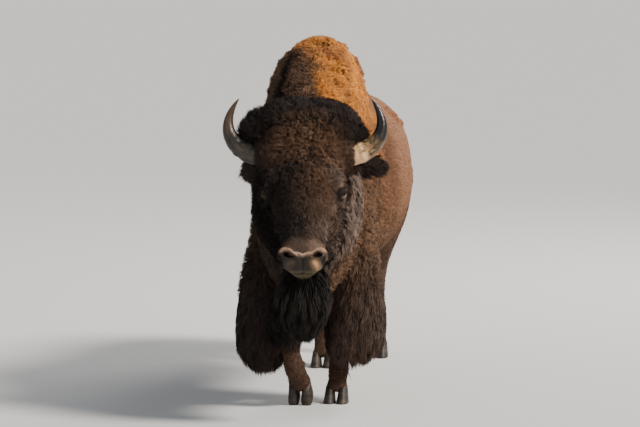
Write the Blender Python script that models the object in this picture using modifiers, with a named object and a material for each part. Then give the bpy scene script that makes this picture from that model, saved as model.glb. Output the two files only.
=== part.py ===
"""A walking American bison bull as a still, life-size model, in separate solids.

Metres, +Z up. The animal faces -Y, so its left side is +X. Every form is drawn out to the tips of its
coat. The fleshy body is one fused form, made of lofts, that is then parted into the pieces a person
would name; horns, eyes, claws and the loose masses of hair are solids of their own.
"""

import math
from dataclasses import dataclass

import bmesh
import bpy
import numpy as np
from mathutils import Matrix, Vector

# ---------------------------------------------------------------------------------- driving sizes
HUMP_TOP = 1.69  # height of the coat over the withers
HUMP_Y = -0.45  # the withers stand a little behind the forelegs
LOIN_TOP = 1.385
SHOULDER_HALF_WIDTH = 0.300
BELLY_HALF_WIDTH = 0.358
CHEST_BOTTOM = 0.50
RUMP_Y = 1.20

HEAD_AT = Vector((0.048, -1.200, 1.202))  # midway between the horn bases
HEAD_PITCH = math.radians(35.0)  # how far the face leans forward of plumb
HEAD_YAW = math.radians(6.5)  # the head is turned a little to the animal's left
FACE_LENGTH = 0.572  # horn base to the end of the nose
EYE_RADIUS = 0.021
EYE_ALONG, EYE_OUT, EYE_PROUD = 0.200, 0.166, 0.016
ORBIT_DEPTH = 0.028  # from the middle of the orbit's swelling to the middle of the eye
HORN_BASE_RADIUS = 0.050
HORN_SWEEP = 0.045  # how far back the tips stand behind the bases

CLAW_HEIGHT = 0.075
CLAW_LENGTH = 0.118
CLAW_WIDTH = 0.056
CLAW_SPACING = 0.0305  # from the foot's middle to the middle of each claw
TOE_FLAT = 0.014  # how much of a tipped claw's point is worn flat

GAP = 0.0003  # clearance that touching solids keep
VOXEL = 0.012  # grain of the fused body
SOFTENING = 9  # smoothing passes that blend one form into the next
BODY_TRIANGLES = 3850

# ---------------------------------------------------------------------------------- the collections
MODEL = "bison"
HELPERS = "cutters"


def clear_scene():
    for obj in list(bpy.data.objects):
        bpy.data.objects.remove(obj, do_unlink=True)


def collection(name):
    made = bpy.data.collections.new(name)
    bpy.context.scene.collection.children.link(made)
    return made


def material(name, colour, roughness, metallic=0.0):
    made = bpy.data.materials.new(name)
    made.use_nodes = True
    shader = made.node_tree.nodes["Principled BSDF"]
    shader.inputs["Base Color"].default_value = (*colour, 1.0)
    shader.inputs["Roughness"].default_value = roughness
    shader.inputs["Metallic"].default_value = metallic
    return made


# ---------------------------------------------------------------------------------- lofting
@dataclass
class Station:
    """One cross-section: where its middle is, and how far it reaches to the sides, front and back.

    power 2 is an ellipse, and more is squarer.
    """

    at: tuple
    side: float
    front: float
    back: float = None
    power: float = 2.0

    def numbers(self):
        back = self.front if self.back is None else self.back
        return [*self.at, self.side, self.front, back, self.power]


def through(rows, spans):
    """Rows in between the given ones, on a smooth curve through them that doesn't overshoot."""
    rows = np.array(rows, float)
    steps = np.maximum(np.linalg.norm(np.diff(rows[:, :3], axis=0), axis=1), 1e-6)[:, None]
    slopes = np.diff(rows, axis=0) / steps
    tangents = np.vstack([slopes[:1], (slopes[1:] + slopes[:-1]) / 2, slopes[-1:]])
    level = np.vstack([slopes[:1] * 0, slopes[1:] * slopes[:-1] <= 0, slopes[-1:] * 0]).astype(bool)
    level[:, :3] = False
    tangents[level] = 0.0
    made = []
    for i in range(len(rows) - 1):
        t = np.arange(spans)[:, None] / spans
        a, b = rows[i], rows[i + 1]
        ta, tb = tangents[i] * steps[i], tangents[i + 1] * steps[i]
        h = 2 * t**3 - 3 * t**2 + 1, t**3 - 2 * t**2 + t, -2 * t**3 + 3 * t**2, t**3 - t**2
        made.append(h[0] * a + h[1] * ta + h[2] * b + h[3] * tb)
    return np.vstack([*made, rows[-1:]])


def unit(v):
    return v / max(np.linalg.norm(v), 1e-9)


def loft(name, stations, across=(1, 0, 0), along=None, sides=28, spans=4):
    """A closed body through the stations. across is the direction of their sides.

    The front of a section is its direction of travel crossed with across. Sections stand square to the
    path, or to along where that is given.
    """
    rows = through([s.numbers() for s in stations], spans)
    points = []
    for i, row in enumerate(rows):
        before, after = rows[max(i - 1, 0), :3], rows[min(i + 1, len(rows) - 1), :3]
        travel = unit(np.array(along, float) if along is not None else after - before)
        side = unit(np.array(across, float) - travel * np.dot(across, travel))
        front = np.cross(travel, side)
        for k in range(sides):
            angle = 2 * math.pi * k / sides
            c, s = math.cos(angle), math.sin(angle)
            bend = 2 / row[6]
            c = math.copysign(abs(c) ** bend, c)
            s = math.copysign(abs(s) ** bend, s)
            reach = row[4] if s > 0 else row[5]
            points.append(row[:3] + side * c * row[3] + front * s * reach)
    faces = [list(range(sides)), [len(points) - 1 - k for k in range(sides)]]
    for i in range(len(rows) - 1):
        for k in range(sides):
            a, b = i * sides + k, i * sides + (k + 1) % sides
            faces.append([a, a + sides, b + sides, b])
    mesh = bpy.data.meshes.new(name)
    mesh.from_pydata([tuple(p) for p in points], [], faces)
    bm = bmesh.new()
    bm.from_mesh(mesh)
    bmesh.ops.recalc_face_normals(bm, faces=bm.faces)
    if bm.calc_volume(signed=True) < 0:
        bmesh.ops.reverse_faces(bm, faces=bm.faces)
    # Fixed triangles, so that a grown copy bends at the same edges and keeps its clearance.
    bmesh.ops.triangulate(bm, faces=bm.faces)
    bm.to_mesh(mesh)
    bm.free()
    return mesh


def ball(name, centre, radii, rings=12, segments=16, turn=None):
    """An ellipsoid as a mesh, turned and then set at its centre."""
    bm = bmesh.new()
    bmesh.ops.create_uvsphere(bm, u_segments=segments, v_segments=rings, radius=1.0)
    place = Matrix.Translation(centre) @ (turn or Matrix.Identity(4)) @ Matrix.Diagonal((*radii, 1.0))
    bm.transform(place)
    mesh = bpy.data.meshes.new(name)
    bm.to_mesh(mesh)
    bm.free()
    return mesh


def block(name, low, high):
    """A box between two corners, as a mesh."""
    bm = bmesh.new()
    bmesh.ops.create_cube(bm, size=1.0)
    low, high = Vector(low), Vector(high)
    bm.transform(Matrix.Translation((low + high) / 2) @ Matrix.Diagonal((*(high - low), 1.0)))
    mesh = bpy.data.meshes.new(name)
    bm.to_mesh(mesh)
    bm.free()
    return mesh


# ---------------------------------------------------------------------------------- objects
def place(mesh, name, where, finish=None):
    obj = bpy.data.objects.new(name, mesh)
    where.objects.link(obj)
    if finish:
        mesh.materials.clear()
        mesh.materials.append(finish)
    return obj


def helper(mesh, name):
    obj = place(mesh, name, bpy.data.collections[HELPERS])
    obj.hide_render = True
    obj.display_type = "WIRE"
    return obj


def settle(obj):
    """Turns an object's modifiers into its mesh."""
    bpy.context.view_layer.update()
    graph = bpy.context.evaluated_depsgraph_get()
    mesh = bpy.data.meshes.new_from_object(obj.evaluated_get(graph))
    obj.modifiers.clear()
    obj.data = mesh
    return obj


def boolean(obj, other, operation):
    step = obj.modifiers.new(operation.title(), "BOOLEAN")
    step.operation = operation
    step.object = other
    return settle(obj)


def swollen(mesh, name, by):
    """A copy of a mesh grown along its normals, as a cutter that leaves clearance."""
    obj = helper(mesh.copy(), name)
    grow = obj.modifiers.new("Grow", "DISPLACE")
    grow.strength = by
    grow.mid_level = 0.0
    return settle(obj)


def drop_crumbs(obj):
    """Keeps only the largest loose piece, because a cut can shave off a flake."""
    bm = bmesh.new()
    bm.from_mesh(obj.data)
    left, groups = set(bm.verts), []
    while left:
        group, edge = set(), [next(iter(left))]
        while edge:
            vertex = edge.pop()
            if vertex in group:
                continue
            group.add(vertex)
            edge.extend(e.other_vert(vertex) for e in vertex.link_edges)
        left -= group
        groups.append(group)
    groups.sort(key=len)
    bmesh.ops.delete(bm, geom=[v for g in groups[:-1] for v in g], context="VERTS")
    bm.to_mesh(obj.data)
    bm.free()
    return obj


def take(body, region, name, finish):
    """Parts the stretch of body inside region off as a solid of its own."""
    inside = helper(region, name + "_region")
    piece = place(body.data.copy(), name, bpy.data.collections[MODEL], finish)
    boolean(piece, inside, "INTERSECT")
    piece.data.materials.clear()
    piece.data.materials.append(finish)
    boolean(body, swollen(region, name + "_cut", GAP), "DIFFERENCE")
    drop_crumbs(body)
    return drop_crumbs(piece)


def seat(obj, *others):
    """Cuts obj back to clear the others, so that they sit in it."""
    for other in others:
        boolean(obj, swollen(other.data, other.name + "_seat", GAP), "DIFFERENCE")
    return drop_crumbs(obj)


# ---------------------------------------------------------------------------------- the head's frame
FORWARD = Vector((math.sin(HEAD_YAW), -math.cos(HEAD_YAW), 0.0))
ACROSS = Vector((math.cos(HEAD_YAW), math.sin(HEAD_YAW), 0.0))
DOWN_FACE = FORWARD * math.sin(HEAD_PITCH) - Vector((0, 0, 1)) * math.cos(HEAD_PITCH)
OFF_FACE = FORWARD * math.cos(HEAD_PITCH) + Vector((0, 0, 1)) * math.sin(HEAD_PITCH)


def on_head(along, out=0.0, proud=0.0):
    """A point by its distance down the face, to the left of its middle, and off its front."""
    return tuple(HEAD_AT + DOWN_FACE * along + ACROSS * out + OFF_FACE * proud)


def by_head(out, rise, ahead):
    """A point near the head by level distances: to its left, upwards and forwards."""
    return tuple(HEAD_AT + ACROSS * out + Vector((0, 0, rise)) + FORWARD * ahead)


def face_station(along, side, front, back, power=2.0):
    """A head section from its middle line: front and back are measured off the face's own line."""
    middle = (front + back) / 2
    return Station(on_head(along, 0.0, middle), side, front - middle, middle - back, power)


# ---------------------------------------------------------------------------------- forms of the body
BACKWARDS = (0, -1, 0)
DOWN = (0, 0, -1)


def trunk_forms():
    barrel = [
        Station((0, RUMP_Y, 0.965), 0.06, 0.07, 0.08),
        Station((0, RUMP_Y - 0.035, 0.965), 0.14, 0.17, 0.17),
        Station((0, RUMP_Y - 0.14, 0.985), 0.215, 0.235, 0.25),
        Station((0, RUMP_Y - 0.38, 0.995), 0.278, 0.335, 0.30, 2.1),
        Station((0, 0.55, 0.975), 0.325, LOIN_TOP - 1.005, 0.36, 2.15),
        Station((0, 0.25, 0.960), BELLY_HALF_WIDTH, 0.420, 0.41, 2.15),
        Station((0, -0.12, 0.960), 0.338, 0.465, 0.425, 2.1),
        Station((0, -0.48, 0.955), SHOULDER_HALF_WIDTH, 0.500, 0.955 - CHEST_BOTTOM, 2.1),
        Station((0, -0.74, 0.950), 0.262, 0.455, 0.460),
        Station((0.005, -0.93, 0.960), 0.215, 0.330, 0.430),
        Station((0.010, -1.03, 0.955), 0.140, 0.190, 0.230),
        Station((0.010, -1.07, 0.950), 0.060, 0.080, 0.100),
    ]
    depth = 0.35  # of the ridge's upper half, under its crest
    crest = [
        (0.78, LOIN_TOP - 0.040, 0.120),
        (0.52, LOIN_TOP + 0.000, 0.135),
        (0.27, LOIN_TOP + 0.065, 0.160),
        (0.03, HUMP_TOP - 0.135, 0.190),
        (-0.20, HUMP_TOP - 0.040, 0.212),
        (HUMP_Y, HUMP_TOP + 0.004, 0.222),
        (-0.66, HUMP_TOP - 0.060, 0.212),
        (-0.84, HUMP_TOP - 0.165, 0.195),
        (-1.00, HUMP_TOP - 0.280, 0.175),
        (-1.09, HUMP_TOP - 0.345, 0.150),
    ]
    ridge = [Station((0, y, top - depth), half, depth, 0.25, 1.95) for y, top, half in crest]
    neck = [
        Station((0, -0.62, 1.080), 0.265, 0.42, 0.50),
        Station((0, -0.86, 1.060), 0.248, 0.42, 0.50),
        Station((0.020, -1.02, 1.045), 0.230, 0.36, 0.47),
        Station((0.038, -1.15, 1.025), 0.205, 0.29, 0.42),
        Station((0.048, -1.25, 1.000), 0.165, 0.20, 0.34),
        Station((0.053, -1.31, 0.980), 0.090, 0.10, 0.20),
    ]
    return [
        loft("barrel_form", barrel, along=BACKWARDS),
        loft("ridge_form", ridge, along=BACKWARDS),
        loft("neck_form", neck),
    ]


def head_forms():
    face = [
        face_station(-0.150, 0.070, 0.020, -0.120),
        face_station(-0.120, 0.130, 0.050, -0.170),
        face_station(-0.060, 0.170, 0.085, -0.205),
        face_station(0.020, 0.182, 0.112, -0.225),
        face_station(0.110, 0.180, 0.122, -0.245, 2.2),
        face_station(0.200, 0.164, 0.108, -0.255, 2.3),
        face_station(0.285, 0.138, 0.086, -0.235, 2.3),
        face_station(0.365, 0.114, 0.066, -0.190, 2.3),
        face_station(0.435, 0.100, 0.056, -0.150, 2.3),
        face_station(0.490, 0.102, 0.050, -0.130, 2.3),
        face_station(0.530, 0.097, 0.034, -0.120, 2.3),
        face_station(0.562, 0.080, 0.008, -0.112, 2.3),
        face_station(FACE_LENGTH + 0.010, 0.052, -0.024, -0.096, 2.2),
    ]
    cheeks = [
        face_station(-0.110, 0.110, -0.040, -0.200),
        face_station(-0.060, 0.192, 0.000, -0.235),
        face_station(0.030, 0.240, 0.012, -0.265),
        face_station(0.140, 0.250, 0.002, -0.290),
        face_station(0.240, 0.243, -0.022, -0.300),
        face_station(0.320, 0.214, -0.050, -0.290),
        face_station(0.390, 0.172, -0.072, -0.262),
        face_station(0.450, 0.132, -0.092, -0.225),
        face_station(0.495, 0.085, -0.110, -0.185),
    ]
    across = tuple(ACROSS)
    forms = [
        loft("face_form", face, across, along=tuple(DOWN_FACE)),
        loft("cheek_form", cheeks, across, along=tuple(DOWN_FACE)),
    ]
    turn = Matrix.Rotation(HEAD_YAW, 4, "Z")
    for side in (1, -1):
        orbit = eye_centre(side) - eye_axis(side) * ORBIT_DEPTH
        brow = on_head(EYE_ALONG - 0.054, side * (EYE_OUT - 0.030), EYE_PROUD + 0.026)
        flare = on_head(0.510, side * 0.070, 0.004)
        forms.append(ball("orbit_form", orbit, (0.047, 0.047, 0.050), turn=turn))
        forms.append(ball("brow_form", brow, (0.040, 0.040, 0.036), turn=turn))
        forms.append(ball("nostril_form", flare, (0.038, 0.038, 0.038), turn=turn))
    return forms


def column(name, rows, power=2.0, sides=28, spans=4):
    """A loft through level sections, each given as height, front, back, middle x and half width."""
    stations = []
    for z, front, back, x, half in rows:
        stations.append(Station((x, (front + back) / 2, z), half, (back - front) / 2, power=power))
    return loft(name, stations, along=DOWN, sides=sides, spans=spans)


@dataclass
class Leg:
    """One leg: its level sections from the trunk to the fetlock, and where the toes meet the floor."""

    name: str
    rows: list
    fetlock: tuple
    toe: tuple
    cut: float  # the height at which the upper leg ends
    cut_reach: float  # how far to each side of the toe that cut goes
    toe_pitch: float = 0.0  # how far the claws tip forward onto their points, in radians


def coronet_of(leg):
    """Where the pastern ends at the top of the claws."""
    back, rise = CLAW_LENGTH * 0.75, CLAW_HEIGHT * 0.90
    c, s = math.cos(leg.toe_pitch), math.sin(leg.toe_pitch)
    return (leg.toe[0], leg.toe[1] + back * c - rise * s, leg.toe[2] + rise * c + back * s)


def between(a, b, share):
    return tuple(np.array(a) + (np.array(b) - np.array(a)) * share)


LEGS = [
    Leg(
        "front_left",
        rows=[
            (1.02, -0.68, -0.44, 0.150, 0.085),
            (0.90, -0.76, -0.40, 0.172, 0.112),
            (0.76, -0.76, -0.42, 0.178, 0.112),
            (0.64, -0.71, -0.48, 0.175, 0.090),
            (0.52, -0.675, -0.525, 0.165, 0.070),
            (0.43, -0.665, -0.540, 0.155, 0.062),
            (0.36, -0.645, -0.545, 0.145, 0.050),
            (0.26, -0.625, -0.545, 0.130, 0.042),
        ],
        fetlock=(0.115, -0.573, 0.148),
        toe=(0.110, -0.675, 0.0),
        cut=0.175,
        cut_reach=0.200,
    ),
    Leg(
        "front_right",
        rows=[
            (1.02, -0.70, -0.46, -0.150, 0.085),
            (0.90, -0.78, -0.42, -0.172, 0.112),
            (0.76, -0.80, -0.45, -0.176, 0.110),
            (0.64, -0.82, -0.56, -0.165, 0.090),
            (0.52, -0.860, -0.690, -0.140, 0.072),
            (0.43, -0.890, -0.755, -0.118, 0.062),
            (0.36, -0.880, -0.775, -0.098, 0.050),
            (0.27, -0.855, -0.770, -0.074, 0.042),
        ],
        fetlock=(-0.055, -0.797, 0.178),
        toe=(-0.045, -0.722, 0.0),
        cut=0.270,
        cut_reach=0.076,
        toe_pitch=math.radians(48.0),
    ),
    Leg(
        "hind_left",
        rows=[
            (1.06, 0.74, 1.06, 0.110, 0.110),
            (0.94, 0.62, 1.175, 0.146, 0.140),
            (0.82, 0.57, 1.190, 0.152, 0.126),
            (0.70, 0.62, 1.165, 0.146, 0.106),
            (0.60, 0.76, 1.145, 0.128, 0.080),
            (0.51, 0.92, 1.145, 0.106, 0.060),
            (0.44, 1.005, 1.140, 0.092, 0.050),
            (0.36, 1.010, 1.105, 0.090, 0.044),
            (0.25, 0.982, 1.064, 0.093, 0.040),
        ],
        fetlock=(0.095, 1.014, 0.152),
        toe=(0.095, 0.905, 0.0),
        cut=0.390,
        cut_reach=0.100,
    ),
    Leg(
        "hind_right",
        rows=[
            (1.06, 0.72, 1.06, -0.110, 0.110),
            (0.94, 0.57, 1.165, -0.146, 0.140),
            (0.82, 0.46, 1.130, -0.154, 0.130),
            (0.70, 0.435, 1.030, -0.152, 0.112),
            (0.60, 0.50, 0.905, -0.142, 0.086),
            (0.51, 0.605, 0.835, -0.130, 0.062),
            (0.44, 0.670, 0.810, -0.122, 0.051),
            (0.36, 0.655, 0.755, -0.120, 0.045),
            (0.25, 0.612, 0.700, -0.120, 0.041),
        ],
        fetlock=(-0.120, 0.622, 0.152),
        toe=(-0.120, 0.510, 0.0),
        cut=0.390,
        cut_reach=0.100,
    ),
]


def leg_forms(leg):
    """The leg down to its cannon, then the fetlock and pastern that lean to the claws."""
    coronet = coronet_of(leg)
    z, front, back, x, half = leg.rows[-1]
    shank = [
        Station((x, (front + back) / 2, z), half, (back - front) / 2),
        Station(leg.fetlock, 0.052, 0.051, 0.057),
        Station(between(leg.fetlock, coronet, 0.55), 0.049, 0.045, 0.047),
        Station(coronet, 0.054, 0.048, 0.048),
        Station(between(leg.fetlock, coronet, 1.30), 0.055, 0.049, 0.049),
    ]
    return [column(leg.name + "_form", leg.rows), loft(leg.name + "_shank_form", shank)]


def ear_course(side):
    """Where an ear grows from the head, and its tip: the left is out level, the right is laid back."""
    root = on_head(-0.012, side * 0.185, -0.125)
    tip = by_head(0.354, -0.052, -0.130) if side > 0 else by_head(-0.300, -0.052, -0.165)
    return root, tip


def ear_form(side):
    """A leaf held out under the horn."""
    root, tip = ear_course(side)
    stations = [
        Station(root, 0.032, 0.028),
        Station(between(root, tip, 0.25), 0.038, 0.028),
        Station(between(root, tip, 0.50), 0.050, 0.025),
        Station(between(root, tip, 0.75), 0.046, 0.021),
        Station(between(root, tip, 0.93), 0.028, 0.016),
        Station(tip, 0.011, 0.009),
    ]
    return loft("ear_form", stations, (0, 0, 1), sides=18)


def tail_form():
    """The dock and the thin tail, hanging close behind the rump."""
    stations = [
        Station((0, RUMP_Y - 0.10, 1.165), 0.060, 0.050),
        Station((0, RUMP_Y - 0.01, 1.130), 0.046, 0.040),
        Station((0.004, RUMP_Y + 0.050, 1.020), 0.032, 0.030),
        Station((0.010, RUMP_Y + 0.062, 0.880), 0.027, 0.026),
        Station((0.014, RUMP_Y + 0.060, 0.780), 0.027, 0.026),
    ]
    return loft("tail_form", stations, sides=16)


# ---------------------------------------------------------------------------------- masses of hair
def bonnet_form():
    """The thick topknot that stands between the horns and falls back onto the nape."""
    half = 0.268
    stations = []
    for share in (-1.0, -0.93, -0.76, -0.42, 0.0, 0.42, 0.76, 0.93, 1.0):
        fall = abs(share)
        swell = math.sqrt(max(1 - fall**3.2, 0.03))
        at = by_head(half * share, 0.075 - 0.010 * fall, -0.085)
        stations.append(Station(at, 0.165 * swell, 0.172 * swell, 0.100 * swell, 2.15))
    return loft("bonnet", stations, tuple(FORWARD), along=tuple(ACROSS * -1.0))


def beard_form():
    """The beard under the chin, running back along the jaw and drawn to a blunt point."""
    rows = [  # height under the horns, ahead, half width, front reach, back reach
        (-0.420, 0.150, 0.096, 0.080, 0.190),
        (-0.520, 0.170, 0.108, 0.090, 0.230),
        (-0.610, 0.168, 0.110, 0.090, 0.220),
        (-0.690, 0.160, 0.094, 0.074, 0.150),
        (-0.750, 0.150, 0.066, 0.054, 0.085),
        (-0.800, 0.140, 0.024, 0.022, 0.028),
    ]
    stations = [
        Station(by_head(0.0, rise, ahead), half, front, back) for rise, ahead, half, front, back in rows
    ]
    return loft("beard", stations, tuple(ACROSS), along=DOWN)


def bib_form():
    """The fringe of hair under the throat, from the jaw back to the brisket."""
    stations = [
        Station((0.052, -1.300, 0.690), 0.050, 0.060, 0.090),
        Station((0.048, -1.230, 0.670), 0.088, 0.100, 0.150),
        Station((0.038, -1.120, 0.655), 0.104, 0.120, 0.170),
        Station((0.022, -1.000, 0.640), 0.116, 0.120, 0.165),
        Station((0.010, -0.880, 0.620), 0.128, 0.120, 0.130),
        Station((0.005, -0.780, 0.610), 0.110, 0.100, 0.100),
    ]
    return loft("bib", stations, along=BACKWARDS)


HAIR = [
    [  # the left chap
        (0.86, -0.735, -0.430, 0.180, 0.085),
        (0.76, -0.775, -0.395, 0.182, 0.116),
        (0.60, -0.785, -0.410, 0.188, 0.142),
        (0.42, -0.780, -0.440, 0.196, 0.160),
        (0.31, -0.765, -0.450, 0.192, 0.154),
        (0.235, -0.730, -0.480, 0.182, 0.125),
        (0.190, -0.665, -0.545, 0.165, 0.070),
    ],
    [  # the right chap
        (0.86, -0.755, -0.460, -0.180, 0.085),
        (0.76, -0.810, -0.440, -0.182, 0.116),
        (0.60, -0.850, -0.470, -0.190, 0.144),
        (0.42, -0.875, -0.500, -0.202, 0.156),
        (0.28, -0.850, -0.515, -0.214, 0.138),
        (0.195, -0.795, -0.550, -0.216, 0.112),
        (0.150, -0.720, -0.620, -0.214, 0.060),
    ],
    [  # the long hair of the brisket, between the forelegs
        (0.66, -0.92, -0.52, 0.005, 0.150),
        (0.56, -0.95, -0.54, 0.005, 0.145),
        (0.46, -0.93, -0.58, 0.000, 0.120),
        (0.38, -0.87, -0.62, -0.010, 0.090),
        (0.30, -0.80, -0.67, -0.015, 0.045),
    ],
    [  # the tassel under a bull's belly
        (0.610, 0.240, 0.380, 0.000, 0.056),
        (0.540, 0.225, 0.350, 0.000, 0.050),
        (0.480, 0.235, 0.320, 0.000, 0.038),
        (0.430, 0.260, 0.286, 0.000, 0.014),
    ],
    [  # the tuft at the end of the tail
        (0.850, RUMP_Y + 0.036, RUMP_Y + 0.088, 0.012, 0.026),
        (0.740, RUMP_Y + 0.015, RUMP_Y + 0.103, 0.015, 0.046),
        (0.640, RUMP_Y + 0.009, RUMP_Y + 0.100, 0.016, 0.049),
        (0.560, RUMP_Y + 0.021, RUMP_Y + 0.080, 0.017, 0.032),
        (0.505, RUMP_Y + 0.038, RUMP_Y + 0.060, 0.018, 0.012),
    ],
]


def fused_body():
    """All the soft forms as one closed body, softened where they run together."""
    forms = trunk_forms() + head_forms()
    for leg in LEGS:
        forms += leg_forms(leg)
    forms += [ear_form(side) for side in (1, -1)] + [tail_form()]
    forms += [bonnet_form(), beard_form(), bib_form()]
    forms += [column("hair", rows, power=2.2) for rows in HAIR]
    bm = bmesh.new()
    for form in forms:
        bm.from_mesh(form)
    mesh = bpy.data.meshes.new("body")
    bm.to_mesh(mesh)
    bm.free()
    body = helper(mesh, "body")
    remesh = body.modifiers.new("Fuse", "REMESH")
    remesh.mode = "VOXEL"
    remesh.voxel_size = VOXEL
    soften = body.modifiers.new("Soften", "SMOOTH")
    soften.factor = 0.5
    soften.iterations = SOFTENING
    settle(body)
    thin = body.modifiers.new("Thin", "DECIMATE")
    thin.ratio = BODY_TRIANGLES / (2 * len(body.data.polygons))
    settle(body)
    return drop_crumbs(body)


# ---------------------------------------------------------------------------------- hard parts
def eye_axis(side):
    """Which way an eye looks: mostly to its side."""
    return (ACROSS * side * 0.78 + FORWARD * 0.62).normalized()


def eye_centre(side):
    return Vector(on_head(EYE_ALONG, side * EYE_OUT, EYE_PROUD))


def horn_mesh(side):
    """A stout base going out level, then a quarter turn up and the tip leaning in."""
    course = [  # out from the face's middle, rise, radius
        (0.140, 0.004, 1.00),
        (0.226, 0.006, 0.98),
        (0.277, 0.026, 0.90),
        (0.317, 0.058, 0.76),
        (0.340, 0.100, 0.59),
        (0.344, 0.147, 0.44),
        (0.332, 0.192, 0.29),
        (0.314, 0.226, 0.16),
        (0.297, 0.250, 0.05),
    ]
    stations = []
    for out, rise, share in course:
        ahead = -0.020 - HORN_SWEEP * max(rise, 0.0) / course[-1][1]
        radius = HORN_BASE_RADIUS * share
        stations.append(Station(by_head(side * out, rise, ahead), radius, radius))
    return loft("horn", stations, BACKWARDS, sides=10, spans=1)


def eye_mesh(side):
    return ball("eye", eye_centre(side), (EYE_RADIUS,) * 3, 6, 10)


def claw_mesh(leg, side):
    """One half of a cloven foot: a wedge, rounded at the toe, on a flat sole."""
    top = 0.68  # size of the coronet against the sole
    lean = CLAW_LENGTH * 0.26  # the top sits back from the toe
    stations = []
    for share in (1.0, 0.06, 0.0):
        size = 1 + (top - 1) * share
        trim = 0.93 if share == 0 else 1.0
        at = (side * CLAW_SPACING, CLAW_LENGTH / 2 + lean * share, CLAW_HEIGHT * share)
        stations.append(
            Station(at, CLAW_WIDTH / 2 * size * trim, CLAW_LENGTH / 2 * size * trim, power=2.3)
        )
    mesh = loft("claw", stations, along=DOWN, sides=10, spans=1)
    turn = Matrix.Rotation(leg.toe_pitch, 4, "X")
    sink = TOE_FLAT if leg.toe_pitch else 0.0
    mesh.transform(Matrix.Translation((leg.toe[0], leg.toe[1], leg.toe[2] - sink)) @ turn)
    if sink:
        claw = helper(mesh, "claw_blank")
        floor = helper(block("floor", (-1, -2, -1), (1, 2, 0)), "floor_cut")
        mesh = boolean(claw, floor, "DIFFERENCE").data
    return mesh


def dewclaw_mesh(leg, side):
    """A blunt little horn behind the fetlock."""
    fetlock, coronet = Vector(leg.fetlock), Vector(coronet_of(leg))
    down = (coronet - fetlock).normalized()
    back = Vector((1, 0, 0)).cross(down).normalized()
    if back.y < 0:
        back = -back
    root = fetlock + Vector((side * 0.024, 0, 0)) + back * 0.038 + down * 0.010
    tip = root + down * 0.034 + back * 0.022
    stations = [
        Station(tuple(root), 0.015, 0.014),
        Station(between(root, tip, 0.7), 0.014, 0.013),
        Station(tuple(tip), 0.005, 0.005),
    ]
    return loft("dewclaw", stations, sides=6, spans=1)


# ---------------------------------------------------------------------------------- parting the body
def casket(name, sections):
    """A four-sided body through level oblongs, each given as height, front, back and two x limits."""
    bm = bmesh.new()
    rings = []
    for z, front, back, x0, x1 in sections:
        corners = ((x0, front), (x1, front), (x1, back), (x0, back))
        rings.append([bm.verts.new((x, y, z)) for x, y in corners])
    bm.faces.new(rings[0])
    bm.faces.new(rings[-1])
    for low, high in zip(rings, rings[1:]):
        for k in range(4):
            bm.faces.new((low[k], low[(k + 1) % 4], high[(k + 1) % 4], high[k]))
    bmesh.ops.recalc_face_normals(bm, faces=bm.faces)
    bmesh.ops.triangulate(bm, faces=bm.faces)
    mesh = bpy.data.meshes.new(name)
    bm.to_mesh(mesh)
    bm.free()
    return mesh


def leg_region(leg, split):
    """The room that a leg takes: all to its side of split, narrowing to a shoulder or hip on top."""
    side = 1 if leg.name.endswith("left") else -1
    hind = leg.name.startswith("hind")
    y = (leg.rows[0][1] + leg.rows[0][2]) / 2 - (0.02 if hind else 0.04)
    low = 0.56 if hind else 0.47
    outer = 0.48 * side
    sections = [
        (-0.05, y - 0.42, y + 0.44, split, outer),
        (low, y - 0.40, y + 0.40, split, outer),
        (low + 0.14, y - 0.34, y + 0.32, 0.12 * side, outer),
        (low + 0.36, y - 0.21, y + 0.20, 0.18 * side, outer),
        (low + 0.46, y - 0.09, y + 0.09, 0.22 * side, outer),
    ]
    return casket(leg.name + "_region", sections)


def tilted_block(name, at, normal, reach, thick):
    """A block whose near face passes through at, square to normal, going thick the other way."""
    mesh = block(name, (-reach, -reach, -thick), (reach, reach, 0))
    turn = Vector(normal).to_track_quat("Z", "Y").to_matrix().to_4x4()
    mesh.transform(Matrix.Translation(at) @ turn)
    return mesh


def head_block(name, low, high):
    """A block by its reaches to the left, backwards and upwards of the horns, turned as the head is."""
    mesh = block(name, low, high)
    mesh.transform(Matrix.Translation(HEAD_AT) @ Matrix.Rotation(HEAD_YAW, 4, "Z"))
    return mesh


def part_leg(body, leg, split, finish, foot_finish):
    """Parts a leg off, then its lower leg from it, and levels that to stand on its claws."""
    upper = take(body, leg_region(leg, split), leg.name + "_upper_leg", finish)
    x, y = leg.toe[0], leg.fetlock[1]
    below = block("level", (x - leg.cut_reach, y - 0.3, -0.2), (x + leg.cut_reach, y + 0.3, leg.cut))
    lower = take(upper, below, leg.name + "_lower_leg", foot_finish)
    up = Matrix.Rotation(leg.toe_pitch, 3, "X") @ Vector((0, 0, 1))
    sink = Vector((0, 0, TOE_FLAT if leg.toe_pitch else 0.0))
    at = Vector(leg.toe) - sink + up * (CLAW_HEIGHT + GAP)
    boolean(lower, helper(tilted_block("c", at, up, 0.25, 0.3), "claw_room"), "DIFFERENCE")
    return drop_crumbs(lower)


def mark_edges(mesh, limit=math.radians(38.0)):
    """Shades the solid smooth, but for its sharp edges."""
    bm = bmesh.new()
    bm.from_mesh(mesh)
    for face in bm.faces:
        face.smooth = True
    for edge in bm.edges:
        edge.smooth = edge.calc_face_angle(0.0) < limit
    bm.to_mesh(mesh)
    bm.free()


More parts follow.
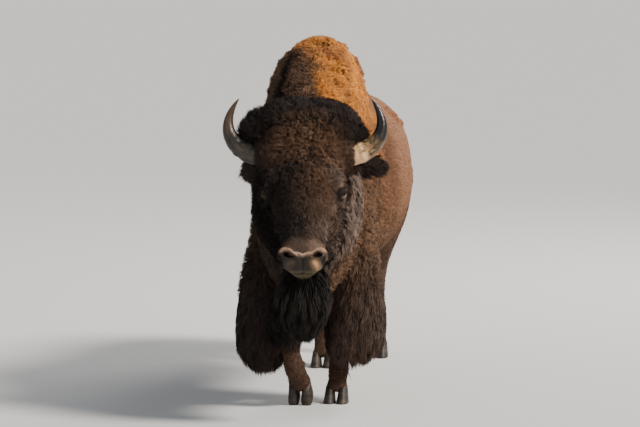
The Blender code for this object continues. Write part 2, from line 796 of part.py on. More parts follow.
def build():
    clear_scene()
    model = collection(MODEL)
    collection(HELPERS)

    dark_wool = material("dark_wool", (0.030, 0.020, 0.016), 0.95)
    forehead_wool = material("forehead_wool", (0.060, 0.034, 0.022), 0.95)
    cape_wool = material("cape_wool", (0.330, 0.150, 0.055), 0.95)
    short_coat = material("short_coat", (0.240, 0.130, 0.075), 0.85)
    leg_coat = material("leg_coat", (0.050, 0.030, 0.022), 0.90)
    horn_sheath = material("horn_sheath", (0.100, 0.080, 0.060), 0.35)
    hoof_horn = material("hoof_horn", (0.020, 0.017, 0.015), 0.45)
    eye_gloss = material("eye_gloss", (0.010, 0.006, 0.004), 0.05)

    body = fused_body()

    for side, word in ((1, "left"), (-1, "right")):
        horn = place(horn_mesh(side), word + "_horn", model, horn_sheath)
        eye = place(eye_mesh(side), word + "_eye", model, eye_gloss)
        seat(body, horn, eye)

    # The nostrils are cut as slanting hollows, wider at the outside.
    for side in (1, -1):
        pit = on_head(0.526, side * 0.064, 0.018)
        turn = Matrix.Rotation(HEAD_YAW, 4, "Z") @ Matrix.Rotation(math.radians(24.0) * side, 4, "Y")
        mesh = ball("nostril", pit, (0.023, 0.026, 0.011), 6, 10, turn)
        boolean(body, helper(mesh, "nostril_cut"), "DIFFERENCE")

    for leg in LEGS:
        hind = leg.name.startswith("hind")
        split = -0.012 if hind else 0.036
        lower = part_leg(body, leg, split, short_coat if hind else dark_wool, leg_coat)
        for side, word in ((1, "left"), (-1, "right")):
            place(claw_mesh(leg, side), f"{leg.name}_claw_{word}", model, hoof_horn)
            boolean(lower, helper(dewclaw_mesh(leg, side), "dewclaw"), "UNION")

    for side, word in ((1, "left"), (-1, "right")):
        root, tip = (Vector(p) for p in ear_course(side))
        at = root.lerp(tip, 0.40)
        take(body, tilted_block("e", at, root - tip, 0.065, 0.2), word + "_ear", dark_wool)

    take(body, head_block("beard", (-0.25, -0.40, -1.0), (0.25, 0.0, -0.530)), "beard", dark_wool)

    # The mouth runs from the front of the lips back along the jaw.
    mouth = tilted_block("m", on_head(0.500, 0.0, -0.072), tuple(OFF_FACE), 0.16, 0.16)
    behind = tilted_block("b", on_head(0.425), tuple(DOWN_FACE * -1.0), 0.50, 0.60)
    jaw = helper(mouth, "jaw_region")
    boolean(jaw, helper(behind, "mouth_back"), "INTERSECT")
    take(body, jaw.data, "lower_jaw", dark_wool)

    nape = on_head(0.060, 0.0, -0.235)
    facing = (OFF_FACE * -0.95 + DOWN_FACE * -0.30).normalized()
    take(body, tilted_block("h", nape, tuple(facing), 0.62, 0.9), "head", forehead_wool)

    wide = 0.6
    behind = RUMP_Y + 0.012
    take(body, block("t", (-0.2, behind, 0.35), (0.2, behind + wide, 1.30)), "tail", short_coat)
    take(body, block("n", (-wide, -1.8, 0.2), (wide, -0.955, 2.0)), "neck", dark_wool)
    take(body, block("s", (-wide, -1.2, 0.2), (wide, -0.10, 2.0)), "shoulders", cape_wool)
    take(body, block("q", (-wide, 0.58, 0.2), (wide, 1.8, 2.0)), "hindquarters", short_coat)
    place(body.data.copy(), "barrel", model, short_coat)

    # The origin is on the floor, under the middle of the whole.
    solids = list(model.objects)
    corners = np.array([tuple(v.co) for obj in solids for v in obj.data.vertices])
    middle = (corners.min(axis=0) + corners.max(axis=0)) / 2
    for obj in solids:
        obj.data.transform(Matrix.Translation((-middle[0], -middle[1], -corners[:, 2].min())))
        mark_edges(obj.data)


build()
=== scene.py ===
"""The looks of a walking American bison bull, over its solid model.

One skin takes the place of the solids of flesh. Over it lies the coat, in meshes of tufts. Horns, hoofs
and eyes are pieces of their own. A pale floor, soft lamps and a camera complete the scene.

Metres, +Z up. The animal faces -Y, and its left side is +X. Shapes are worked out in the animal's own
frame, with its middle line at x = 0, and are moved by SHIFT into the model's frame as they are made.
"""

from __future__ import annotations

import sys
import logging
import math
from dataclasses import dataclass, field, replace
from enum import IntEnum
from typing import Callable, Iterable

import bmesh
import bpy
import numpy as np
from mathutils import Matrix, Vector


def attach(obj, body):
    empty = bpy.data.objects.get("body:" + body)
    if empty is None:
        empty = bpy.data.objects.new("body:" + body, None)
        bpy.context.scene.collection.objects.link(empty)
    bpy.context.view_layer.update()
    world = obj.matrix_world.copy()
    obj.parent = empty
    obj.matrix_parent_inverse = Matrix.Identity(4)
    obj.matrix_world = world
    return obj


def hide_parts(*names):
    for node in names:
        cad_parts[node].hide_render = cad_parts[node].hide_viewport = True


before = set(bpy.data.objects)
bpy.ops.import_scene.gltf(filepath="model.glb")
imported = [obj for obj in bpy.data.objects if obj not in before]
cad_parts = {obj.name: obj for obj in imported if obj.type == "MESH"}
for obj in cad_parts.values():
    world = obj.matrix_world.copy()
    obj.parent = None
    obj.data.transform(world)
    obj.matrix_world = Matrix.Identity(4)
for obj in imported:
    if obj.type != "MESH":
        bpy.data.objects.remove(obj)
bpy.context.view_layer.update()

log = logging.getLogger("bison")
Array = np.ndarray
Table = list[tuple] | tuple[tuple, ...]
Mesh, Object, Material = bpy.types.Mesh, bpy.types.Object, bpy.types.Material

# ------------ driving sizes
SHIFT = np.array([-0.0248, 0.12335, 0.0])
HUMP_TOP = 1.69
HUMP_Y = -0.45
LOIN_TOP = 1.385
SHOULDER_HALF_WIDTH = 0.300
BELLY_HALF_WIDTH = 0.358
CHEST_BOTTOM = 0.50
RUMP_Y = 1.20
HEAD_AT = np.array([0.048, -1.200, 1.202])
HEAD_PITCH = math.radians(35.0)
HEAD_YAW = math.radians(6.5)
FACE_LENGTH = 0.572
EYE_RADIUS = 0.021
EYE_ALONG, EYE_OUT, EYE_PROUD = 0.200, 0.166, 0.016
ORBIT_DEPTH = 0.028
HORN_BASE_RADIUS = 0.050
HORN_SWEEP = 0.045
CLAW_HEIGHT, CLAW_LENGTH, CLAW_WIDTH, CLAW_SPACING = 0.075, 0.118, 0.056, 0.0305
TOE_FLAT = 0.014
NOSTRIL_OUT, NOSTRIL_ALONG = 0.064, 0.520
SKIN_GRAIN, SHELL_GRAIN = 0.0122, 0.012
COAT_REACH, DEEPEST_COAT = 0.12, 0.10
SEED = 20
FLESH = [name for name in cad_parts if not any(word in name for word in ("horn", "eye", "claw"))]

SIDES = {1: "left", -1: "right"}
BACKWARDS = (0.0, -1.0, 0.0)
DOWN = (0.0, 0.0, -1.0)
MARKING = "marking"  # the colour attribute that skin and coat share
GLOSS = "gloss"  # how wet or bare the skin is
BAKE_MAP = "OFBake"
PATCH = 0.003  # width of a tuft's own place on its map


# ------------ number helpers
def unit(v: Array) -> Array:
    """Vectors scaled to a length of one, along the last axis."""
    return v / np.maximum(np.linalg.norm(v, axis=-1, keepdims=True), 1e-9)


def ramp(x: Array, low: float, high: float) -> Array:
    """A smooth step from 0 at low to 1 at high, t*t*(3 - 2t), which may also run downwards."""
    t = np.clip((x - low) / (high - low), 0.0, 1.0)
    return t * t * (3 - 2 * t)


def bell(x: Array, middle: float = 0.0, width: float = 1.0) -> Array:
    """A smooth bump: 1 where x is at the middle, falling to 1/e a width away from it."""
    return np.exp(-(((x - middle) / width) ** 2))


def layered(colour: Array, *layers: tuple[Array, Array]) -> Array:
    """Lays colours over one another.

    Args:
        colour: the lowest, as one colour or as rows.
        layers: what lies over it, in order, each with how much of it shows in each row.

    Returns:
        The rows that show: under * (1 - share) + over * share, time after time.
    """
    for over, share in layers:
        share = np.asarray(share)[..., None]
        colour = colour * (1 - share) + over * share
    return colour


def hashed(cells: Array, salt: int) -> Array:
    """One steady random number for each cell of a lattice.

    Args:
        cells: whole numbers, in rows of three.
        salt: picks another set of numbers.

    Returns:
        Numbers from 0 to 1.
    """
    n = cells.astype(np.int64)
    h = n[..., 0] * 374761393 + n[..., 1] * 668265263 + n[..., 2] * 1440662683 + salt * 1274126177
    h = (h ^ (h >> 13)) * 1274126177
    h = h ^ (h >> 16)
    return (h & 0xFFFFFF) / float(0xFFFFFF)


def noise(points: Array, size: float, salt: int = 0) -> Array:
    """Smooth value noise: lattice values mixed by eased distances in the three directions.

    Args:
        points: rows of three.
        size: the lattice's cell, in metres.
        salt: picks another pattern.

    Returns:
        Numbers from -1 to 1.
    """
    p = points / size
    base = np.floor(p)
    f = p - base
    f = f * f * (3 - 2 * f)
    total = np.zeros(len(points))
    for corner in np.ndindex(2, 2, 2):
        c = np.array(corner)
        share = np.prod(np.where(c == 1, f, 1 - f), axis=1)
        total += share * hashed(base + c, salt)
    return total * 2 - 1


def seeds_near(points: Array, size: float, salt: int) -> tuple[Array, Array]:
    """The nearest of scattered seeds, of which each lattice cell holds one.

    Args:
        points: rows of three.
        size: the lattice's cell, in metres.
        salt: picks another scatter.

    Returns:
        The distance to the nearest seed, and a whole number that names that seed.
    """
    base = np.floor(points / size)
    best = np.full(len(points), np.inf)
    name = np.zeros(len(points), np.int64)
    for step in np.ndindex(3, 3, 3):
        cell = base + np.array(step) - 1
        jitter = np.stack([hashed(cell, salt + k) for k in (1, 2, 3)], axis=1)
        gap = np.linalg.norm((cell + jitter) * size - points, axis=1)
        nearer = gap < best
        best[nearer] = gap[nearer]
        name[nearer] = (hashed(cell, salt + 4)[nearer] * 0xFFFFFF).astype(np.int64)
    return best, name


def linear(red: float, green: float, blue: float) -> Array:
    """A colour from its usual 0 to 255 numbers to linear light."""
    c = np.array([red, green, blue]) / 255
    return np.where(c <= 0.04045, c / 12.92, ((c + 0.055) / 1.055) ** 2.4)


def tint(red: float, green: float, blue: float) -> Array:
    """A dataclass field that holds such a colour."""
    return field(default_factory=lambda: linear(red, green, blue))


# ------------ the head's frame
UP = np.array([0.0, 0.0, 1.0])
FORWARD = np.array([math.sin(HEAD_YAW), -math.cos(HEAD_YAW), 0.0])
ACROSS = np.array([math.cos(HEAD_YAW), math.sin(HEAD_YAW), 0.0])
DOWN_FACE = FORWARD * math.sin(HEAD_PITCH) - UP * math.cos(HEAD_PITCH)
OFF_FACE = FORWARD * math.cos(HEAD_PITCH) + UP * math.sin(HEAD_PITCH)


def on_head(along: float, out: float = 0.0, proud: float = 0.0) -> Array:
    """The point so far down the face from the horns, left of its middle and off its front."""
    return HEAD_AT + DOWN_FACE * along + ACROSS * out + OFF_FACE * proud


def by_head(out: float, rise: float, ahead: float) -> Array:
    """The point so far from the middle of the horns: to the head's left, up and forwards."""
    return HEAD_AT + ACROSS * out + UP * rise + FORWARD * ahead


def head_places(points: Array) -> tuple[Array, Array, Array]:
    """How far points lie down the face, to its left and off its front: on_head reversed."""
    q = points - HEAD_AT
    return q @ DOWN_FACE, q @ ACROSS, q @ OFF_FACE


# ------------ lofts
@dataclass
class Form:
    """One soft form of the body, lofted through stations.

    Attributes:
        rows: for each station the middle x, y, z, the reach to the side, front and back, and the power.
        across: the direction of the sections' sides.
        along: the direction that sections stand square to, or None for the path's own.
        coat: the depth of coat taken off at each station.
        sides: points round a section.
        spans: sections between two stations.
    """

    rows: Array
    across: tuple | Array = (1.0, 0.0, 0.0)
    along: tuple | Array | None = None
    coat: float | tuple = 0.0
    sides: int = 40
    spans: int = 6

    def sections(self) -> tuple[Array, Array, Array, Array]:
        """Sections on smooth curves through the stations, which never overshoot them.

        Returns:
            The rows, and for each its direction of travel, its side and its front.
        """
        rows = np.array(self.rows, float)
        rows[:, 3:6] = np.maximum(
            rows[:, 3:6] - np.reshape(self.coat, (-1, 1)), rows[:, 3:6] * 0.3
        )
        steps = np.maximum(np.linalg.norm(np.diff(rows[:, :3], axis=0), axis=1), 1e-6)[:, None]
        slopes = np.diff(rows, axis=0) / steps
        tangents = np.vstack([slopes[:1], (slopes[1:] + slopes[:-1]) / 2, slopes[-1:]])
        turns = slopes[1:] * slopes[:-1] <= 0
        level = np.vstack([slopes[:1] * 0, turns, slopes[-1:] * 0]).astype(bool)
        level[:, :3] = False
        tangents[level] = 0.0
        t = (np.arange(self.spans) / self.spans)[None, :, None]
        a, b = rows[:-1, None], rows[1:, None]
        ta, tb = (tangents[:-1] * steps)[:, None], (tangents[1:] * steps)[:, None]
        parts = (2 * t**3 - 3 * t**2 + 1) * a + (t**3 - 2 * t**2 + t) * ta
        parts = parts + (-2 * t**3 + 3 * t**2) * b + (t**3 - t**2) * tb
        dense = np.vstack([parts.reshape(-1, rows.shape[1]), rows[-1:]])
        if self.along is None:
            travel = unit(np.gradient(dense[:, :3], axis=0))
        else:
            travel = np.repeat(unit(np.array(self.along, float))[None], len(dense), axis=0)
        across = np.array(self.across, float)
        side = unit(across - travel * (travel @ across)[:, None])
        return dense, travel, side, np.cross(travel, side)

    def mesh(self) -> tuple[Array, list[list[int]]]:
        """The loft's skin: a ring for each section, joined by quads, with a cap at each end.

        Returns:
            Its points and its faces.
        """
        rows, _, side, front = self.sections()
        turn = 2 * np.pi * np.arange(self.sides) / self.sides
        c, s = np.cos(turn)[None], np.sin(turn)[None]
        bend = 2 / rows[:, 6:7]
        c = np.sign(c) * np.abs(c) ** bend
        s = np.sign(s) * np.abs(s) ** bend
        reach = np.where(s > 0, rows[:, 4:5], rows[:, 5:6])
        rings = rows[:, None, :3] + side[:, None] * (c * rows[:, 3:4])[..., None]
        rings = rings + front[:, None] * (s * reach)[..., None]
        n, m = len(rows), self.sides
        index = np.arange(n * m).reshape(n, m)
        ahead = np.roll(index, -1, axis=1)
        quads = np.stack([index[:-1], index[1:], ahead[1:], ahead[:-1]], axis=-1).reshape(-1, 4)
        return rings.reshape(-1, 3), [*quads.tolist(), index[0].tolist(), index[-1][::-1].tolist()]

    def gap(self, points: Array) -> Array:
        """About how far points are outside the form.

        Args:
            points: rows of three.

        Returns:
            Distances, negative inside: the superellipse's radius less one, times the section's size.
        """
        rows, travel, side, front = self.sections()
        if self.along is None:
            nearest = np.argmin(
                (points**2).sum(1)[:, None]
                - 2 * points @ rows[:, :3].T
                + (rows[:, :3] ** 2).sum(1)[None],
                axis=1,
            )
        else:
            way = travel[0] * np.sign((rows[-1, :3] - rows[0, :3]) @ travel[0])
            nearest = np.clip(np.searchsorted(rows[:, :3] @ way, points @ way), 0, len(rows) - 1)
        q = points - rows[nearest, :3]
        s = (q * side[nearest]).sum(1)
        f = (q * front[nearest]).sum(1)
        reach = np.where(f > 0, rows[nearest, 4], rows[nearest, 5])
        power = rows[nearest, 6]
        radius = (np.abs(s / rows[nearest, 3]) ** power + np.abs(f / reach) ** power) ** (1 / power)
        past = np.abs((q * travel[nearest]).sum(1))
        ends = (nearest == 0) | (nearest == len(rows) - 1)
        size = np.minimum(rows[nearest, 3], reach)
        return (radius - 1) * size + np.where(ends, past, 0.0)


def station(at: Array | tuple, side: float, front: float, back: float = 0.0, power: float = 2.0) -> list:
    """One row of a loft: its middle, reaches and power. A back of 0 is as long as the front."""
    return [*at, side, front, back or front, power]


def face_row(along: float, side: float, front: float, back: float, power: float = 2.0) -> list:
    """A head section, with its front and back measured off the face's own line."""
    middle = (front + back) / 2
    return station(on_head(along, 0.0, middle), side, front - middle, middle - back, power)


def stations(*rows: tuple) -> list[list]:
    """Rows of a loft, each from its middle's x, y and z and what else station takes."""
    return [station(row[:3], *row[3:]) for row in rows]


def between(a: Array, b: Array, share: float) -> Array:
    """A point on the line from a to b."""
    return np.array(a) + (np.array(b) - np.array(a)) * share


def level_rows(rows: Table, power: float = 2.0) -> list[list]:
    """Rows of a column, each from its height, front, back, middle x and half width."""
    return [station((x, (f + b) / 2, z), half, (b - f) / 2, power=power) for z, f, b, x, half in rows]


class Part(IntEnum):
    """What a stretch of skin belongs to, which picks its coat and its markings."""

    BARREL = 0
    RIDGE = 1
    NECK = 2
    FACE = 3
    CHEEK = 4
    MUZZLE = 5
    FORELEG = 6
    HIND_LEG = 7
    SHANK = 8
    EAR = 9
    TAIL = 10
    TAIL_TUFT = 11
    BONNET = 12
    BEARD = 13
    CHAP = 14
    BRISKET = 15
    BIB = 16
    CUFF = 17
    TASSEL = 18


Bodies = list[tuple[Part, Form]]


# ------------ the body's forms
@dataclass
class Leg:
    """One leg, as its level sections down to the fetlock and its foot.

    Attributes:
        name: which leg.
        rows: height, front, back, middle x and half width.
        fetlock: the fetlock's middle.
        toe: where the toes meet the floor.
        toe_pitch: how far the claws tip onto their points, in radians.
    """

    name: str
    rows: list[tuple]
    fetlock: tuple
    toe: tuple
    toe_pitch: float = 0.0

    def coronet(self) -> Array:
        """Where the pastern ends at the top of the claws.

        Returns:
            The point.
        """
        back, rise = CLAW_LENGTH * 0.75, CLAW_HEIGHT * 0.90
        c, s = math.cos(self.toe_pitch), math.sin(self.toe_pitch)
        x, y, z = self.toe
        return np.array([x, y + back * c - rise * s, z + rise * c + back * s])

    def forms(self) -> Bodies:
        """The leg's lofts, each with the part it belongs to.

        Returns:
            The forms, each with its part.
        """
        front_leg = self.name.startswith("front")
        z, front, back, x, half = self.rows[-1]
        crown = self.coronet()
        shank = [
            station((x, (front + back) / 2, z), half, (back - front) / 2),
            station(self.fetlock, 0.050, 0.049, 0.056),
            station(between(self.fetlock, crown, 0.55), 0.046, 0.042, 0.044),
            station(crown, 0.055, 0.050, 0.050),
            station(between(self.fetlock, crown, 1.22), 0.055, 0.050, 0.050),
        ]
        coat = tuple(np.linspace(0.030 if front_leg else 0.010, 0.005, len(self.rows)))
        part = Part.FORELEG if front_leg else Part.HIND_LEG
        return [
            (part, Form(level_rows(self.rows), along=DOWN, coat=coat)),
            (Part.SHANK, Form(shank, coat=0.004)),
        ]


LEGS = [
    Leg("front_left", [
        (1.02, -0.68, -0.44, 0.150, 0.085), (0.90, -0.76, -0.40, 0.172, 0.112),
        (0.76, -0.76, -0.42, 0.178, 0.112), (0.64, -0.71, -0.48, 0.175, 0.090),
        (0.52, -0.675, -0.525, 0.165, 0.070), (0.43, -0.665, -0.540, 0.155, 0.062),
        (0.36, -0.645, -0.545, 0.145, 0.050), (0.26, -0.625, -0.545, 0.130, 0.042),
    ], (0.115, -0.573, 0.148), (0.110, -0.675, 0.0)),
    Leg("front_right", [
        (1.02, -0.70, -0.46, -0.150, 0.085), (0.90, -0.78, -0.42, -0.172, 0.112),
        (0.76, -0.80, -0.45, -0.176, 0.110), (0.64, -0.82, -0.56, -0.165, 0.090),
        (0.52, -0.860, -0.690, -0.140, 0.072), (0.43, -0.890, -0.755, -0.118, 0.062),
        (0.36, -0.880, -0.775, -0.098, 0.050), (0.27, -0.855, -0.770, -0.074, 0.042),
    ], (-0.055, -0.797, 0.178), (-0.045, -0.722, 0.0), math.radians(48.0)),
    Leg("hind_left", [
        (1.06, 0.74, 1.06, 0.110, 0.110), (0.94, 0.62, 1.175, 0.146, 0.140),
        (0.82, 0.57, 1.190, 0.152, 0.126), (0.70, 0.62, 1.165, 0.146, 0.106),
        (0.60, 0.76, 1.145, 0.128, 0.080), (0.51, 0.92, 1.145, 0.106, 0.060),
        (0.44, 1.005, 1.140, 0.092, 0.050), (0.36, 1.010, 1.105, 0.090, 0.044),
        (0.25, 0.982, 1.064, 0.093, 0.040),
    ], (0.095, 1.014, 0.152), (0.095, 0.905, 0.0)),
    Leg("hind_right", [
        (1.06, 0.72, 1.06, -0.110, 0.110), (0.94, 0.57, 1.165, -0.146, 0.140),
        (0.82, 0.46, 1.130, -0.154, 0.130), (0.70, 0.435, 1.030, -0.152, 0.112),
        (0.60, 0.50, 0.905, -0.142, 0.086), (0.51, 0.605, 0.835, -0.130, 0.062),
        (0.44, 0.670, 0.810, -0.122, 0.051), (0.36, 0.655, 0.755, -0.120, 0.045),
        (0.25, 0.612, 0.700, -0.120, 0.041),
    ], (-0.120, 0.622, 0.152), (-0.120, 0.510, 0.0)),
]


def trunk_forms() -> Bodies:
    """Barrel, the ridge over it and the neck.

    Returns:
        The forms, each with its part.
    """
    barrel = stations(
        (0, RUMP_Y, 0.965, 0.06, 0.07, 0.08), (0, RUMP_Y - 0.035, 0.965, 0.14, 0.17, 0.17),
        (0, RUMP_Y - 0.14, 0.985, 0.215, 0.235, 0.25),
        (0, RUMP_Y - 0.38, 0.995, 0.278, 0.335, 0.30, 2.1),
        (0, 0.55, 0.975, 0.325, LOIN_TOP - 1.005, 0.36, 2.15),
        (0, 0.25, 0.960, BELLY_HALF_WIDTH, 0.420, 0.41, 2.15),
        (0, -0.12, 0.960, 0.338, 0.465, 0.425, 2.1),
        (0, -0.48, 0.955, SHOULDER_HALF_WIDTH, 0.500, 0.955 - CHEST_BOTTOM, 2.1),
        (0, -0.74, 0.950, 0.262, 0.455, 0.460), (0.005, -0.93, 0.960, 0.215, 0.330, 0.430),
        (0.010, -1.03, 0.955, 0.140, 0.190, 0.230), (0.010, -1.07, 0.950, 0.060, 0.080, 0.100),
    )
    barrel_coat = (0.008, 0.008, 0.008, 0.008, 0.009, 0.012, 0.022, 0.034, 0.038, 0.038, 0.03, 0.02)
    depth = 0.35
    crest = [
        (0.78, LOIN_TOP - 0.040, 0.120), (0.52, LOIN_TOP + 0.000, 0.135),
        (0.27, LOIN_TOP + 0.065, 0.160), (0.03, HUMP_TOP - 0.135, 0.190),
        (-0.20, HUMP_TOP - 0.040, 0.212), (HUMP_Y, HUMP_TOP + 0.004, 0.222),
        (-0.66, HUMP_TOP - 0.060, 0.212), (-0.84, HUMP_TOP - 0.165, 0.195),
        (-1.00, HUMP_TOP - 0.280, 0.175), (-1.09, HUMP_TOP - 0.345, 0.150),
    ]
    ridge = [station((0, y, top - depth), half, depth, 0.25, 1.95) for y, top, half in crest]
    ridge_coat = (0.006, 0.007, 0.009, 0.012, 0.015, 0.017, 0.018, 0.018, 0.018, 0.018)
    neck = stations(
        (0, -0.62, 1.080, 0.265, 0.42, 0.50), (0, -0.86, 1.060, 0.248, 0.42, 0.50),
        (0.020, -1.02, 1.045, 0.230, 0.36, 0.47), (0.038, -1.15, 1.025, 0.205, 0.29, 0.42),
        (0.048, -1.25, 1.000, 0.165, 0.20, 0.34), (0.053, -1.31, 0.980, 0.090, 0.10, 0.20),
    )
    return [
        (Part.BARREL, Form(barrel, along=BACKWARDS, coat=barrel_coat, sides=64)),
        (Part.RIDGE, Form(ridge, along=BACKWARDS, coat=ridge_coat, sides=64)),
        (Part.NECK, Form(neck, coat=0.040, sides=48)),
    ]


def head_forms() -> Bodies:
    """The long wedge of the face, and the broad cheeks.

    Returns:
        The forms, each with its part.
    """
    face = [face_row(*row) for row in (
        (-0.150, 0.070, 0.020, -0.120), (-0.120, 0.130, 0.050, -0.170), (-0.060, 0.170, 0.085, -0.205),
        (0.020, 0.182, 0.112, -0.225), (0.110, 0.180, 0.122, -0.245, 2.2),
        (0.200, 0.164, 0.108, -0.255, 2.3), (0.285, 0.138, 0.086, -0.235, 2.3),
        (0.365, 0.114, 0.066, -0.190, 2.3), (0.435, 0.100, 0.056, -0.150, 2.3),
        (0.490, 0.102, 0.050, -0.130, 2.3), (0.530, 0.097, 0.034, -0.120, 2.3),
        (0.562, 0.080, 0.008, -0.112, 2.3), (FACE_LENGTH + 0.010, 0.052, -0.024, -0.096, 2.2),
    )]
    face_coat = (0.03, 0.04, 0.04, 0.034, 0.028, 0.020, 0.014, 0.008, 0.004, 0.002, 0.001, 0.001, 0.001)
    cheeks = [face_row(*row) for row in (
        (-0.110, 0.110, -0.040, -0.200), (-0.060, 0.192, 0.000, -0.235), (0.030, 0.240, 0.012, -0.265),
        (0.140, 0.250, 0.002, -0.290), (0.240, 0.243, -0.022, -0.300), (0.320, 0.214, -0.050, -0.290),
        (0.390, 0.172, -0.072, -0.262), (0.450, 0.132, -0.092, -0.225), (0.495, 0.085, -0.110, -0.185),
    )]
    cheek_coat = (0.03, 0.035, 0.04, 0.042, 0.042, 0.036, 0.025, 0.015, 0.008)
    along = tuple(DOWN_FACE)
    return [
        (Part.FACE, Form(face, ACROSS, along, face_coat, sides=48)),
        (Part.CHEEK, Form(cheeks, ACROSS, along, cheek_coat, sides=48)),
    ]


def ball_form(centre: Array, radius: float) -> Form:
    """A round form, as a short loft whose rings follow a circle.

    Args:
        centre: its middle.
        radius: its radius.

    Returns:
        The form.
    """
    shares = np.sin(np.linspace(-math.pi / 2, math.pi / 2, 9))
    rings = np.maximum(np.sqrt(1 - shares**2), 0.12) * radius
    rows = [station(centre + UP * s * radius, r, r) for s, r in zip(shares, rings)]
    return Form(rows, along=UP, sides=24, spans=2)


def eye_axis(side: int) -> Array:
    """Which way an eye looks: mostly to its side."""
    return unit(ACROSS * side * 0.78 + FORWARD * 0.62)


def eye_centre(side: int) -> Array:
    """The middle of an eye: side is 1 for the left and -1 for the right."""
    return on_head(EYE_ALONG, side * EYE_OUT, EYE_PROUD)


def eye_gap(points: Array, side: int) -> Array:
    """How far points are from an eye's middle."""
    return np.linalg.norm(points - eye_centre(side), axis=1)


def eye_frame(side: int) -> tuple[Array, Array, Array, Array]:
    """An eye's middle, the way it looks, the way its slit runs, and the way its lids open.

    Args:
        side: 1 for the left, -1 for the right.

    Returns:
        A point, and three directions of length one.
    """
    axis = eye_axis(side)
    slit = ACROSS * side * 0.80 - DOWN_FACE * 0.42
    slit = unit(slit - axis * (slit @ axis))
    lift = np.cross(axis, slit)
    lift = lift if lift[2] > 0 else -lift
    return eye_centre(side), axis, slit, lift


def swelling_forms() -> Bodies:
    """The rounds of the orbits, brows and nostrils on both sides.

    Returns:
        The forms, each with its part.
    """
    made = []
    for side in SIDES:
        orbit = eye_centre(side) - eye_axis(side) * ORBIT_DEPTH
        brow = on_head(EYE_ALONG - 0.050, side * (EYE_OUT - 0.028), EYE_PROUD + 0.018)
        flare = on_head(0.510, side * 0.070, 0.004)
        rings = ((0.090, 0.085), (0.145, 0.080), (0.180, 0.070), (0.200, 0.058), (0.208, 0.040))
        cuff = [station(by_head(side * out, 0.004, -0.020), radius, radius) for out, radius in rings]
        made += [
            (Part.CUFF, Form(cuff, BACKWARDS, sides=32)),
            (Part.FACE, ball_form(orbit, 0.046)),
            (Part.FACE, ball_form(brow, 0.036)),
            (Part.MUZZLE, ball_form(flare, 0.037)),
        ]
    return made


def ear_course(side: int) -> tuple[Array, Array]:
    """Where an ear grows from the head, and its tip."""
    tip = by_head(0.354, -0.052, -0.130) if side > 0 else by_head(-0.272, -0.085, -0.185)
    return on_head(-0.012, side * 0.185, -0.125), tip


def ear_and_tail_forms() -> Bodies:
    """The ears, as leaves held out under the horns, and the dock with the thin tail.

    Returns:
        The forms, each with its part.
    """
    reaches = (
        (0.0, 0.032, 0.028), (0.25, 0.038, 0.028), (0.5, 0.050, 0.025),
        (0.75, 0.046, 0.021), (0.93, 0.028, 0.016), (1.0, 0.011, 0.009),
    )
    made = []
    for side in SIDES:
        ends = ear_course(side)
        rows = [station(between(*ends, share), wide, thick) for share, wide, thick in reaches]
        made.append((Part.EAR, Form(rows, UP, coat=0.008, sides=24)))
    tail = stations(
        (0, RUMP_Y - 0.10, 1.165, 0.060, 0.050), (0, RUMP_Y - 0.01, 1.130, 0.046, 0.040),
        (0.004, RUMP_Y + 0.050, 1.020, 0.032, 0.030), (0.010, RUMP_Y + 0.062, 0.880, 0.027, 0.026),
        (0.014, RUMP_Y + 0.060, 0.780, 0.027, 0.026),
    )
    return [*made, (Part.TAIL, Form(tail, coat=0.006, sides=24))]


